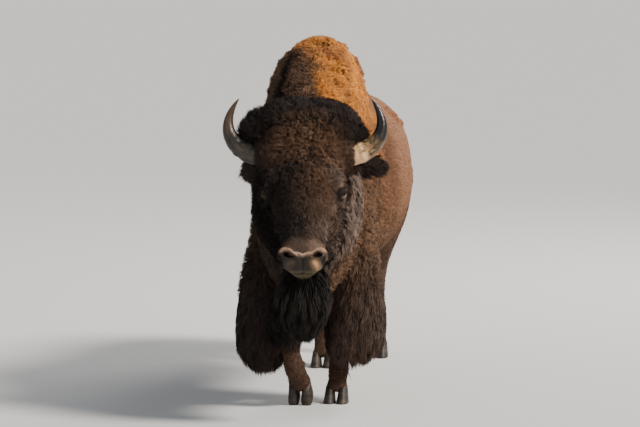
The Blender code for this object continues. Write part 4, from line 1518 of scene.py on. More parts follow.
@dataclass(frozen=True)
class Finish:
    """A material whose colour comes from the marking attribute, broken up by noise.

    Attributes:
        name: the material's name.
        roughness: how matt it is.
        grain: the noise's scale, per metre, and how much it lightens and darkens.
        bump: height of the noise as relief, in metres, or 0.
        bump_scale: scale of that relief, per metre.
        sheen: the soft rim light of hair.
        coat: clear gloss.
        specular: strength of plain reflections.
        gloss: roughness where the gloss attribute is 1, or None without one.
    """

    name: str
    roughness: float
    grain: tuple[float, float] = (60.0, 0.25)
    bump: float = 0.0
    bump_scale: float = 300.0
    sheen: float = 0.0
    coat: float = 0.0
    specular: float = 0.3
    gloss: float | None = None

    def material(self) -> Material:
        """Makes the material.

        Returns:
            The new material.
        """
        sheen, coat = {"Sheen Weight": self.sheen}, {"Coat Weight": self.coat}
        shine = {"Coat Roughness": 0.06, "Sheen Roughness": 0.4, "Specular IOR Level": self.specular}
        made, shader = surface(self.name, {"Roughness": self.roughness, **sheen, **coat, **shine})
        tree = made.node_tree
        marking = node(tree, "Attribute")
        marking.attribute_name = MARKING
        place = node(tree, "TexCoord")
        cloud = node(tree, "TexNoise", {"Scale": self.grain[0], "Detail": 3.0})
        dark, bright = 1 - self.grain[1], 1 + self.grain[1]
        light = node(tree, "MapRange", {"From Min": 0.3, "From Max": 0.7, "To Min": dark, "To Max": bright})
        scale = node(tree, "VectorMath")
        scale.operation = "SCALE"
        wires = [
            (place, "Object", cloud, "Vector"),
            (cloud, "Fac", light, "Value"),
            (marking, "Color", scale, 0),
            (light, "Result", scale, "Scale"),
            (scale, "Vector", shader, "Base Color"),
        ]
        if self.bump:
            relief = node(tree, "TexNoise", {"Scale": self.bump_scale, "Detail": 4.0})
            bump = node(tree, "Bump", {"Distance": self.bump})
            wires += [(place, "Object", relief, "Vector"), (relief, "Fac", bump, "Height")]
            wires += [(bump, "Normal", shader, "Normal")]
        if self.gloss is not None:
            wet = node(tree, "Attribute")
            wet.attribute_name = GLOSS
            mix = node(tree, "MapRange", {"To Min": self.roughness, "To Max": self.gloss})
            wires += [(wet, "Fac", mix, "Value"), (mix, "Result", shader, "Roughness")]
        for source, out, target, into in wires:
            tree.links.new(source.outputs[out], target.inputs[into])
        return made


HIDE = Finish("hide", 0.88, (55.0, 0.22), bump=0.0022, bump_scale=330.0, specular=0.22, gloss=0.34)
WOOL = Finish("wool", 0.92, (45.0, 0.20), sheen=0.10, specular=0.12)
HAIR = Finish("hair", 0.74, (40.0, 0.18), sheen=0.05, specular=0.16)
SLEEK = Finish("sleek_hair", 0.74, (50.0, 0.16), sheen=0.05, specular=0.18)
HORN = Finish("horn", 0.38, (75.0, 0.20), bump=0.0010, bump_scale=190.0, specular=0.35, gloss=0.24)
HOOF = Finish("hoof", 0.55, (90.0, 0.25), bump=0.0008, bump_scale=260.0, specular=0.35)
EYE = Finish("eye", 0.26, (200.0, 0.05), coat=0.03, specular=0.14)
LID = Finish("lid", 0.60, (150.0, 0.15), specular=0.18)


# ------------ the coat
Lie = Callable[[Array, Array], Array]


def lie_trunk(points: Array, normals: Array) -> Array:
    """Back along the flanks; down and outwards on the front of the hump."""
    front = ramp(-normals[:, 1], 0.25, 0.75)
    return np.stack([np.sign(points[:, 0]) * 0.45 * front, 0.75 * (1 - front), -0.75 + 0 * front], axis=1)


def steady(*way: float) -> Lie:
    """A lie that is the same everywhere."""
    return lambda points, normals: np.tile(way, (len(points), 1))


lie_rear, lie_neck, lie_down = steady(0.0, 0.80, -0.50), steady(0.0, 0.35, -0.95), steady(*DOWN)


def lie_face(points: Array, normals: Array) -> Array:
    """Down the face, and out over the cheeks."""
    _, out, _ = head_places(points)
    return DOWN_FACE * 0.9 + ACROSS * (np.clip(out / 0.15, -1, 1) * 0.55)[:, None] - OFF_FACE * 0.1


def lie_crown(points: Array, normals: Array) -> Array:
    """From the middle of the brow outwards and down.

    Args:
        points: rows of three.
        normals: the skin's outward directions there.

    Returns:
        A direction for each root.
    """
    _, out, _ = head_places(points)
    swirl = noise(points, 0.05, 31)[:, None]
    return DOWN_FACE * 0.7 + ACROSS * (np.clip(out / 0.12, -1, 1))[:, None] + ACROSS * swirl * 0.6


def lie_bonnet(points: Array, normals: Array) -> Array:
    """Up and out from the poll, so that the topknot stands."""
    return normals * 0.8 + UP * 0.7 + FORWARD * 0.15


def lie_ear(points: Array, normals: Array) -> Array:
    """Towards the tip of the nearer ear."""
    left, right = (unit(tip - root) for root, tip in map(ear_course, SIDES))
    return np.where(points[:, :1] > HEAD_AT[0], left, right)


def lie_collar(points: Array, normals: Array) -> Array:
    """Out along the horn, and a little away from it."""
    out = ((points - HEAD_AT) @ ACROSS)[:, None]
    return ACROSS * np.sign(out) + unit(points - HEAD_AT - out * ACROSS) * 0.30


@dataclass(frozen=True)
class Style:
    """How the tufts of one kind of coat grow.

    Attributes:
        length: length of a tuft, in metres.
        width: width of a tuft.
        lie: which way it lies.
        rise: height of its tip, as a share of the coat's depth there.
        lift: the least height of its tip, in metres.
        spread: how much lengths differ, as a share.
        mess: how much directions differ.
        clump: size of a lock, or 0 without locks.
        pull: how far tufts draw in to the middle of their lock.
        curl: how far a tuft winds off its course, in metres.
        turns: how often it winds.
        droop: how far the tip sinks under its weight, as a share of the length.
        levels: stretches along a tuft.
        root, tip: light at the root and at the tip.
        vary: how much locks differ in light.
        pitted: how far painted shade darkens the tufts in the small pits; above 0 it also shortens them
            there.
    """

    length: float
    width: float
    lie: Lie
    rise: float = 0.9
    lift: float = 0.003
    spread: float = 0.3
    mess: float = 0.25
    clump: float = 0.0
    pull: float = 0.6
    curl: float = 0.0
    turns: float = 1.0
    droop: float = 0.0
    levels: int = 3
    root: float = 0.6
    tip: float = 1.2
    vary: float = 0.2
    pitted: float = 0.0


CAPE = Style(0.023, 0.0029, lie_trunk, 0.95, lift=0.006, clump=0.013, pull=0.5, curl=0.003, turns=1.2,
             mess=0.9, root=0.66, tip=1.14, vary=0.16, pitted=0.88)
SHOULDER = Style(0.048, 0.0034, lie_trunk, 0.95, clump=0.026, pull=0.65, curl=0.008, turns=1.3,
                 mess=0.60, root=0.42, tip=1.45, vary=0.36)
NECK = replace(SHOULDER, length=0.054, lie=lie_neck, curl=0.009)
CROWN = Style(0.036, 0.0028, lie_crown, 0.95, clump=0.012, pull=0.5, curl=0.005, turns=1.4, mess=0.7,
              root=0.55, tip=1.25, vary=0.22)
TOPKNOT = Style(0.056, 0.0032, lie_bonnet, 1.3, lift=0.030, clump=0.018, pull=0.35, curl=0.004,
                turns=1.3, mess=0.6, root=0.6, tip=1.25, vary=0.18)
CHEEK = Style(0.036, 0.0030, lie_face, 1.0, clump=0.014, pull=0.4, curl=0.002, mess=0.30, root=0.6,
              tip=1.2, vary=0.34)
MUZZLE = Style(0.010, 0.0019, lie_face, 0.05, lift=0.0014, mess=0.2, levels=2, root=0.7, tip=1.1,
               vary=0.1)
LID_HAIR = Style(0.009, 0.0016, lie_face, 0.4, lift=0.0014, mess=0.35, levels=2, root=0.7, tip=1.15,
                 vary=0.1)
BEARD = Style(0.115, 0.0040, lie_down, 1.0, clump=0.028, pull=0.7, curl=0.005, mess=0.22, root=0.6,
              tip=1.3, vary=0.2, droop=0.1, levels=4)
CHAPS = Style(0.090, 0.0042, lie_down, 0.60, clump=0.028, pull=0.55, curl=0.007, mess=0.27, root=0.55,
              tip=1.3, vary=0.22, droop=0.20, levels=4)
KNEE = Style(0.060, 0.0038, lie_down, 0.9, lift=0.012, clump=0.024, pull=0.5, curl=0.006, mess=0.35,
             root=0.6, tip=1.2, vary=0.2, droop=0.1, levels=4)
FLANK = Style(0.018, 0.0028, lie_rear, 0.7, lift=0.0022, mess=0.25, levels=2, root=0.88, tip=1.06,
              vary=0.07)
SIDE = Style(0.024, 0.0028, lie_rear, 0.85, lift=0.003, mess=0.3, levels=2, root=0.8, tip=1.1,
             vary=0.10)
LIMB = Style(0.016, 0.0026, lie_down, 0.7, lift=0.0018, mess=0.2, levels=2, root=0.85, tip=1.08,
             vary=0.08)
TUFT = Style(0.110, 0.0042, lie_down, 1.0, clump=0.022, pull=0.5, curl=0.004, mess=0.2, levels=4)
COLLAR = Style(0.046, 0.0030, lie_collar, 0.95, lift=0.014, clump=0.013, pull=0.5, curl=0.006, turns=1.3,
               mess=0.75, root=0.55, tip=1.25, vary=0.22)
JOWL = Style(0.070, 0.0034, lie_face, 1.5, lift=0.040, clump=0.024, pull=0.45, curl=0.005, mess=0.3,
             root=0.5, tip=1.3, vary=0.40, droop=0.15, levels=4)
EAR = Style(0.050, 0.0034, lie_ear, 1.0, lift=0.012, clump=0.016, pull=0.4, curl=0.004, mess=0.55,
            root=0.6, tip=1.45, droop=0.25)


@dataclass
class CoatPiece:
    """One mesh of tufts.

    Attributes:
        name: the piece's name.
        parts: the parts of the skin that it covers.
        style: how its tufts grow.
        count: how many there are.
        side: 1 for the left half only, -1 for the right, 0 for both.
        slot: the name of a material slot.
        zone: a weight by place, or None for an even coat.
        finish: its material's finish.
        trim: whether its tufts are shorter near the eyes and the nose.
    """

    name: str
    parts: tuple[Part, ...]
    style: Style
    count: int
    slot: str
    side: int = 0
    zone: Callable[[Array], Array] | None = None
    finish: Finish = WOOL
    trim: bool = False

    def weights(self, skin: Skin) -> Array:
        """How thick the tufts stand at each vertex of the skin.

        Args:
            skin: the skin.

        Returns:
            A weight for each vertex.
        """
        weight = np.isin(skin.parts, self.parts) * 1.0
        if self.side:
            weight = weight * (skin.points[:, 0] * self.side >= 0)
        if self.zone:
            weight = weight * self.zone(skin.points)
        return weight

    def roots(self, skin: Skin, rng: np.random.Generator) -> tuple[Array, Array]:
        """Scatters roots over the skin, by area and weight.

        Args:
            skin: the skin.
            rng: the random numbers.

        Returns:
            For each tuft its triangle of the skin, and three shares that place it there.
        """
        corners = skin.points[skin.triangles]
        normal = np.cross(corners[:, 1] - corners[:, 0], corners[:, 2] - corners[:, 0])
        area = np.linalg.norm(normal, axis=1)
        running = np.cumsum(area * self.weights(skin)[skin.triangles].mean(1))
        chosen = np.searchsorted(running, rng.random(self.count) * running[-1])
        a, b = rng.random((2, self.count))
        flip = a + b > 1
        a, b = np.where(flip, 1 - a, a), np.where(flip, 1 - b, b)
        return np.minimum(chosen, len(area) - 1), np.stack([1 - a - b, a, b], axis=1)

    def unwrap(self, skin: Skin, chosen: Array, shares: Array) -> Array:
        """Each root's place on an unwrap of the skin that the piece covers.

        Args:
            skin: the skin.
            chosen: for each root its triangle.
            shares: its place in that triangle.

        Returns:
            Rows of u and v.
        """
        kept, index = np.unique(chosen, return_inverse=True)
        ring = np.zeros(len(skin.points), bool)
        ring[skin.triangles[kept]] = True
        rows = np.flatnonzero(ring[skin.triangles].all(axis=1))
        used, corners = np.unique(skin.triangles[rows], return_inverse=True)
        patch = triangle_mesh("patch", skin.points[used], corners.reshape(-1, 3))
        patch.uv_layers.new(name="map")
        obj = linked("patch", patch)
        bpy.ops.object.select_all(action="DESELECT")
        obj.select_set(True)
        bpy.context.view_layer.objects.active = obj
        bpy.ops.object.mode_set(mode="EDIT")
        bpy.ops.mesh.select_all(action="SELECT")
        bpy.ops.uv.smart_project(angle_limit=math.radians(66), island_margin=0.006)
        bpy.ops.object.mode_set(mode="OBJECT")
        places = fields(patch.uv_layers["map"].data, "uv", 2).reshape(-1, 3, 2)
        bpy.data.objects.remove(obj)
        bpy.data.meshes.remove(patch)
        where = np.searchsorted(rows, kept)[index]
        return (places[where] * shares[..., None]).sum(1)

    def courses(
        self, roots: Array, normals: Array, depth: Array, rng: np.random.Generator
    ) -> tuple[Array, Array, Array]:
        """The line that each tuft follows.

        A tuft runs along the coat's lie while it rises to the coat's depth, then sinks by its droop.
        Tufts of one lock are drawn to the lock's mean line, and wind round it together.

        Args:
            roots: where tufts grow.
            normals: the skin's outward directions.
            depth: the coat's depth there.
            rng: the random numbers.

        Returns:
            Points along each tuft, the way its width lies, and the lock's light.
        """
        style, n = self.style, len(roots)
        mess = rng.normal(size=(n, 3)) * style.mess
        if style.clump:
            _, names = seeds_near(roots, style.clump, SEED)
            _, locks = np.unique(names, return_inverse=True)
            number = locks.max() + 1
            drift = rng.normal(size=(number, 3))[locks] * style.mess * 0.7
            mess = mess * 0.45 + drift
            light = 1 + rng.uniform(-1, 1, number)[locks] * style.vary
            bend = rng.uniform(0, 2 * np.pi, number)[locks] + rng.normal(size=n) * 0.5
        else:
            light = 1 + rng.uniform(-1, 1, n) * style.vary
            bend = rng.uniform(0, 2 * np.pi, n)
        lie = unit(style.lie(roots, normals)) + mess
        along = lie - normals * (lie * normals).sum(1)[:, None]
        along = unit(along)
        aside = np.cross(normals, along)
        cut = trimmed(roots) if self.trim else np.ones(n)
        if style.pitted:
            cut = cut * (1 - 0.80 * pits(roots, 1.5))
        length = style.length * cut * (1 + rng.uniform(-1, 1, n) * style.spread)
        rise = np.maximum(depth * style.rise * cut**0.5, style.lift) * (1 + rng.uniform(-0.25, 0.1, n))
        run = np.sqrt(np.maximum(length**2 - rise**2, (0.25 * length) ** 2))
        t = np.linspace(0, 1, style.levels + 1)[None, :, None]
        up = 1 - (1 - t) ** 2
        line = roots[:, None] + along[:, None] * (run[:, None, None] * t)
        line = line + normals[:, None] * (rise[:, None, None] * up)
        line = line - UP * (style.droop * length[:, None, None] * t**2)
        if style.clump:
            count = np.bincount(locks)
            flat = line.reshape(n, -1)
            mean = np.stack([np.bincount(locks, column) / count for column in flat.T], axis=1)
            mean = mean[locks].reshape(line.shape)
            line = line + (mean - line) * (style.pull * t**1.5)
        if style.curl:
            turn = bend[:, None, None] + 2 * np.pi * style.turns * t
            wind = aside[:, None] * np.cos(turn) + normals[:, None] * np.sin(turn) * 0.6
            line = line + wind * style.curl * np.minimum(t * 1.5, 1)
        roll = rng.uniform(-0.9, 0.9, n)[:, None]
        across = aside * np.cos(roll) + normals * np.sin(roll)
        line = line - normals[:, None] * 0.002 * (1 - t)
        return line, across, light

    def build(self, skin: Skin) -> Object:
        """Makes the piece: flat tufts that narrow to a point, coloured from root to tip.

        Args:
            skin: the skin that they grow from.

        Returns:
            The piece.
        """
        rng = np.random.default_rng([SEED, *self.name.encode()])
        chosen, shares = self.roots(skin, rng)
        corners = skin.triangles[chosen]
        known = (skin.points, skin.normals, skin.colours, skin.depth[:, None])
        roots, normals, colour, depth = ((rows[corners] * shares[..., None]).sum(1) for rows in known)
        normals, depth = unit(normals), depth[:, 0]
        places = self.unwrap(skin, chosen, shares)
        line, across, light = self.courses(roots, normals, depth, rng)
        style, n = self.style, len(roots)
        k = style.levels
        width = style.width * (1 + rng.uniform(-0.3, 0.3, n))
        shape = np.interp(np.arange(k) / k, [0, 0.45, 1], [0.75, 1.0, 0.2])
        half = across[:, None] * (width[:, None] * shape[None] / 2)[..., None]
        pairs = np.stack([line[:, :k] - half, line[:, :k] + half], axis=2).reshape(n, 2 * k, 3)
        points = np.concatenate([pairs, line[:, k:]], axis=1)
        steps = np.arange(k - 1)[:, None] * 2
        strip = np.concatenate([steps + [0, 1, 3], steps + [0, 3, 2]], axis=1).reshape(-1, 3)
        strip = np.vstack([strip, [[2 * k - 2, 2 * k - 1, 2 * k]]])
        size = 2 * k + 1
        triangles = (strip[None] + (np.arange(n) * size)[:, None, None]).reshape(-1, 3)
        mesh = triangle_mesh(self.name, points.reshape(-1, 3), triangles)
        up = np.concatenate([np.repeat(np.arange(k) / k, 2), [1.0]])
        shade = style.root + (style.tip - style.root) * up[None] ** 0.8
        single = 1 + rng.uniform(-0.12, 0.12, n)
        tone = colour[:, None] * (shade * (light * single)[:, None])[..., None]
        # Painted shade in the pits of the felted wool.
        if style.pitted:
            dark = style.pitted * pits(points.reshape(-1, 3))
            tone = tone * (1 - dark.reshape(n, size))[..., None]
        paint(mesh, MARKING, tone.reshape(-1, 3))
        wide = np.concatenate([np.tile([-0.5, 0.5], k), [0.0]]) * PATCH
        tall = (up - 0.5) * PATCH
        spot = places[:, None] + np.stack([wide, tall], axis=1)[None]
        layer = mesh.uv_layers.new(name=BAKE_MAP)
        layer.data.foreach_set("uv", spot.reshape(-1, 2)[triangles.ravel()].astype(np.float32).ravel())
        log.info("%s: %d tufts, %d triangles", self.name, n, len(triangles))
        return shown(mesh)


def zone_rear(points: Array) -> Array:
    """Where the short coat of the rear starts to show."""
    return ramp(points[:, 1], -0.12, 0.10)


def zone_smooth(points: Array) -> Array:
    """The short coat behind and above the wool of the shoulder."""
    return (1 - zone_rear(points)) * (1 - 0.8 * zone_fore(points)) * ramp(points[:, 2], 0.50, 0.70)


def zone_cape(points: Array) -> Array:
    """Where the felted wool of the cape lies along the back."""
    return ramp(points[:, 1] + noise(points, 0.12, 43) * 0.06, 0.42, 0.16)


def zone_fore(points: Array) -> Array:
    """Where the long wool of the fore end lies: the front of the shoulder and all of the elbow.

    Args:
        points: rows of three.

    Returns:
        A share for each point.
    """
    rough = noise(points, 0.12, 41) * 0.05
    ahead = ramp(points[:, 1] + rough, -0.28, -0.42) * ramp(points[:, 2] + rough, 1.24, 1.10)
    elbow = ramp(points[:, 1] + rough, 0.04, -0.14) * ramp(points[:, 2] + rough, 0.88, 0.76)
    return np.maximum(ahead, elbow) * ramp(points[:, 2], 0.48, 0.66)


def zone_crown(points: Array) -> Array:
    """The forehead, down to below the eyes.

    Args:
        points: rows of three.

    Returns:
        A share for each point.
    """
    along, out, _ = head_places(points)
    inner = ramp(along, 0.40, 0.24) * ramp(np.abs(out), 0.22, 0.12) * away_from_eyes(points, 0.027)
    return inner * (1 - 0.85 * dark_rim(points) * ramp(points[:, 2], 1.20, 1.26))


def zone_cheek(points: Array) -> Array:
    """The sides of the face and the lower face, thinning to the nose.

    Args:
        points: rows of three.

    Returns:
        A share for each point.
    """
    along, out, proud = head_places(points)
    rest = 1 - ramp(along, 0.32, 0.18) * ramp(np.abs(out), 0.17, 0.10) * ramp(proud, 0.0, 0.05)
    return rest * ramp(along, 0.47, 0.40) * away_from_eyes(points, 0.025)


def zone_muzzle(points: Array) -> Array:
    """The muzzle round the bare nose, and not in the nostrils.

    Args:
        points: rows of three.

    Returns:
        A share for each point.
    """
    along, out, proud = head_places(points)
    bare = ramp(along, 0.506, 0.522) * ramp(np.abs(out), 0.098, 0.086) * ramp(proud, -0.100, -0.085)
    for side in SIDES:
        radius, _ = nostril_places(points, side)
        bare = np.maximum(bare, ramp(radius, 1.35, 1.15) * ramp(proud, -0.085, -0.060))
    return 1 - bare


def zone_lids(points: Array) -> Array:
    """A ring round each eye."""
    return away_from_eyes(points, 0.019) * (1 - away_from_eyes(points, 0.040))


def zone_knee(points: Array) -> Array:
    """The foreleg down to its knee."""
    return ramp(points[:, 2], 0.31, 0.35) * ramp(points[:, 2], 0.80, 0.65)


def zone_cannon(points: Array) -> Array:
    """The foreleg below its knee."""
    return ramp(points[:, 2], 0.40, 0.34)


def trimmed(points: Array) -> Array:
    """How much of its length a tuft has: less near the eyes and towards the nose.

    Args:
        points: rows of three.

    Returns:
        A share for each point.
    """
    along, _, _ = head_places(points)
    share = 1 - 0.62 * ramp(along, 0.26, 0.44)
    for side in SIDES:
        share = share * (0.30 + 0.70 * ramp(eye_gap(points, side), 0.032, 0.090))
    return share


def zone_jowl(points: Array) -> Array:
    """The side of the cheek, under the ear."""
    along, out, proud = head_places(points)
    return ramp(np.abs(out), 0.145, 0.190) * ramp(along, 0.42, 0.30) * ramp(proud, 0.02, -0.04)


def zone_chap(points: Array) -> Array:
    """The long hair of the chaps, fading upwards into the shoulder's."""
    return ramp(points[:, 2] + noise(points, 0.10, 42) * 0.04, 0.92, 0.72)


def away_from_eyes(points: Array, reach: float) -> Array:
    """0 at the lids, rising to 1 beyond reach."""
    return np.prod([ramp(eye_gap(points, side), reach, reach + 0.010) for side in SIDES], axis=0)


def halves(
    name: str, parts: tuple[Part, ...], style: Style, counts: tuple[int, int], slot: str, *rest: object
) -> list[CoatPiece]:
    """A left and a right piece, which differ in their side and their number of tufts alone.

    Args:
        name: the pieces' name without the side.
        parts: the parts of the skin that they cover.
        style: how their tufts grow.
        counts: how many tufts the left and the right have.
        slot: their material slot.
        rest: their zone, and their finish if it isn't plain wool.

    Returns:
        Both pieces.
    """
    return [
        CoatPiece(f"{name}_{word}", parts, style, count, slot, side, *rest)
        for (side, word), count in zip(SIDES.items(), counts)
    ]


TRUNK, ELBOW = (Part.BARREL, Part.RIDGE), (Part.BARREL, Part.CHAP, Part.FORELEG)
COAT = [
    *halves("cape", (Part.RIDGE,), CAPE, (21000, 21000), "cape_wool", zone_cape),
    *halves("shoulder", ELBOW, SHOULDER, (13000, 11000), "cape_wool", zone_fore),
    CoatPiece("neck_coat", (Part.NECK,), NECK, 17000, "dark_wool"),
    CoatPiece("topknot", (Part.BONNET,), TOPKNOT, 16000, "forehead_wool", zone=dark_rim, finish=HAIR),
    CoatPiece("forehead_curls", (Part.FACE, Part.BONNET), CROWN, 25500, "forehead_wool",
              zone=zone_crown, trim=True),
    CoatPiece("cheek_hair", (Part.CHEEK, Part.FACE, Part.MUZZLE), CHEEK, 21000, "dark_wool",
              zone=zone_cheek, finish=HAIR, trim=True),
    CoatPiece("horn_cuffs", (Part.CUFF,), COLLAR, 7000, "forehead_wool", finish=HAIR),
    CoatPiece("jowl", (Part.CHEEK,), JOWL, 5000, "dark_wool", 1, zone_jowl, HAIR),
    CoatPiece("muzzle_hair", (Part.MUZZLE,), MUZZLE, 15000, "dark_wool", zone=zone_muzzle,
              finish=SLEEK),
    CoatPiece("lid_hair", (Part.FACE, Part.CHEEK), LID_HAIR, 5000, "dark_wool", zone=zone_lids,
              finish=SLEEK),
    CoatPiece("beard_hair", (Part.BEARD,), BEARD, 10000, "dark_wool", finish=HAIR),
    *halves("chap", (Part.CHAP,), CHAPS, (12000, 12000), "dark_wool", zone_chap, HAIR),
    CoatPiece("bib_hair", (Part.BRISKET, Part.BIB, Part.TASSEL), CHAPS, 9500, "dark_wool",
              finish=HAIR),
    CoatPiece("knee_hair", (Part.FORELEG,), KNEE, 6000, "dark_wool", zone=zone_knee, finish=HAIR),
    CoatPiece("cannon_hair", (Part.FORELEG,), LIMB, 4000, "leg_coat", zone=zone_cannon, finish=SLEEK),
    *halves("flank", TRUNK, FLANK, (17000, 15000), "short_coat", zone_rear, SLEEK),
    *halves("side", (Part.BARREL,), SIDE, (9000, 7500), "short_coat", zone_smooth, SLEEK),
    CoatPiece("hind_leg_hair", (Part.HIND_LEG,), LIMB, 15000, "short_coat", finish=SLEEK),
    CoatPiece("foot_hair", (Part.SHANK,), LIMB, 9000, "leg_coat", finish=SLEEK),
    CoatPiece("ear_hair", (Part.EAR,), EAR, 6500, "dark_wool", finish=HAIR),
    CoatPiece("tail_hair", (Part.TAIL,), LIMB, 3000, "short_coat", finish=SLEEK),
    CoatPiece("tail_switch", (Part.TAIL_TUFT,), TUFT, 3500, "short_coat", finish=HAIR),
]


# ------------ hard parts
@dataclass
class Horn:
    """A horn: a stout grooved base going out level, then a quarter turn up to a black tip."""

    side: int
    around: int = 40

    def build(self) -> Object:
        """Makes the horn.

        The sweep is a smooth curve through its stations. Rings round the base are a sine along the
        horn that fades out to the tip, and grooves are noise drawn out lengthwise.

        Returns:
            The horn.
        """
        course = [
            (0.140, 0.004, 1.00), (0.226, 0.006, 0.98), (0.277, 0.026, 0.90), (0.317, 0.058, 0.76),
            (0.340, 0.100, 0.59), (0.344, 0.147, 0.44), (0.332, 0.192, 0.29), (0.314, 0.226, 0.16),
            (0.297, 0.250, 0.035),
        ]
        rows = []
        for out, rise, share in course:
            ahead = -0.020 - HORN_SWEEP * max(rise, 0.0) / course[-1][1]
            radius = HORN_BASE_RADIUS * share
            rows.append(station(by_head(self.side * out, rise, ahead), radius, radius))
        form = Form(rows, BACKWARDS, sides=self.around, spans=12)
        points, faces = form.mesh()
        dense, _, _, _ = form.sections()
        m = self.around
        middle = np.repeat(dense[:, :3], m, axis=0)
        steps = np.linalg.norm(np.diff(dense[:, :3], axis=0), axis=1)
        share = np.repeat(np.concatenate([[0], np.cumsum(steps)]) / steps.sum(), m)
        turn = np.tile(np.arange(m) / m * 2 * np.pi, len(dense))
        base = ramp(share, 0.62, 0.40)
        rings = np.sin(share * 70 + 0.8 * np.sin(turn + self.side)) * 0.0011
        rows3 = np.stack([np.cos(turn), np.sin(turn), share * 4.0], axis=1)
        grooves = noise(rows3, 0.16, 51) * 0.0016 + noise(rows3, 0.5, 52) * 0.0020
        outward = unit(points - middle)
        points = points + outward * ((rings + grooves) * base)[:, None]
        mesh = mesh_of(f"{SIDES[self.side]}_horn_sheath", points, faces)
        # The left horn takes bright colours and the right horn dark copies of them, as painted light and
        # shade.
        lit = self.side > 0
        tan = linear(232, 186, 136) if lit else linear(54, 49, 43)
        band, black = linear(112, 88, 58) if lit else linear(52, 45, 38), linear(27, 25, 24)
        fray = noise(rows3, 0.35, 53) * 0.05 + noise(rows3, 0.12, 54) * 0.03
        stain = np.clip(noise(rows3 * [1, 1, 0.35], 0.22, 55) * 1.3 + 0.25, 0, 1) * base
        speck = ramp(noise(rows3, 0.12, 56) + noise(rows3, 0.30, 57) * 0.5, 0.0, 0.40)
        # Painted highlight: tan on one side of the right horn's outer half.
        tip_highlight = 0.0 if lit else ramp(share, 0.50, 0.66) * ramp(np.cos(turn), -0.2, 0.8)
        colour = layered(
            tan,
            (band, ramp(share + fray, 0.28, 0.42)),
            (black, ramp(share + fray, 0.42, 0.56)),
            (linear(112, 82, 54) if lit else linear(88, 70, 52), stain * 0.6),
            (black, speck * ramp(share, 0.22, 0.34) * ramp(share, 0.62, 0.50) * 0.8),
            (linear(92, 72, 54), tip_highlight * 0.5),
        )
        paint(mesh, MARKING, colour)
        paint(mesh, GLOSS, ramp(share, 0.45, 0.75)[:, None])
        return shown(mesh)


@dataclass
class Eye:
    """An eyeball: dark brown, with a level oval pupil and a thin pale rim where the white shows."""

    side: int

    def build(self) -> Object:
        """Makes the eye.

        Returns:
            The eye.
        """
        bm = bmesh.new()
        bmesh.ops.create_uvsphere(bm, u_segments=40, v_segments=28, radius=EYE_RADIUS)
        mesh = bpy.data.meshes.new(f"{SIDES[self.side]}_eyeball")
        bm.to_mesh(mesh)
        bm.free()
        points = points_of(mesh) + SHIFT
        centre, axis, slit, lift = eye_frame(self.side)
        x, y, z = points @ slit, points @ lift, points @ axis
        iris, pupil, white = linear(52, 30, 18), linear(6, 5, 5), linear(96, 78, 66)
        colour = layered(
            iris,
            (pupil, ramp(np.hypot(x / 1.4, y), 0.0075, 0.0060)),
            (white, ramp(np.hypot(x, y), 0.0165, 0.0185)),
        )
        colour[z < 0] = iris
        mesh.vertices.foreach_set("co", (points + centre + SHIFT).astype(np.float32).ravel())
        mesh.update()
        paint(mesh, MARKING, colour)
        return shown(mesh)


@dataclass
class Lids:
    """The dark moist rims of both eyes, as thin tubes round the almonds that the skin leaves open."""

    thickness: float = 0.0022
    steps: int = 64
    around: int = 10

    def build(self) -> Object:
        """Makes the rims.

        Returns:
            Both rims as one piece.
        """
        tubes = []
        for side in SIDES:
            centre, axis, slit, lift = eye_frame(side)
            turn = np.arange(self.steps) / self.steps * 2 * np.pi
            x = 0.0180 * np.cos(turn)
            y = np.sin(turn) * np.where(np.sin(turn) > 0, 0.0074, 0.0080)
            reach = EYE_RADIUS + 0.0012
            z = np.sqrt(reach**2 - x**2 - y**2)
            path = centre + slit * x[:, None] + lift * y[:, None] + axis * z[:, None]
            travel = unit(np.roll(path, -1, axis=0) - np.roll(path, 1, axis=0))
            outward = unit(path - centre)
            aside = np.cross(travel, outward)
            roll = np.arange(self.around) / self.around * 2 * np.pi
            ring = outward[:, None] * np.cos(roll)[None, :, None]
            ring = ring + aside[:, None] * np.sin(roll)[None, :, None]
            tube = path[:, None] + ring * self.thickness
            index = np.arange(self.steps * self.around).reshape(self.steps, self.around)
            ahead, beside = np.roll(index, -1, axis=0), np.roll(index, -1, axis=1)
            both = np.roll(ahead, -1, axis=1)
            quads = np.stack([index, ahead, both, beside], axis=-1).reshape(-1, 4)
            tubes.append((tube.reshape(-1, 3), quads.tolist()))
        mesh = mesh_of("lids", *joined(tubes))
        paint(mesh, MARKING, linear(24, 19, 17))
        return shown(mesh)


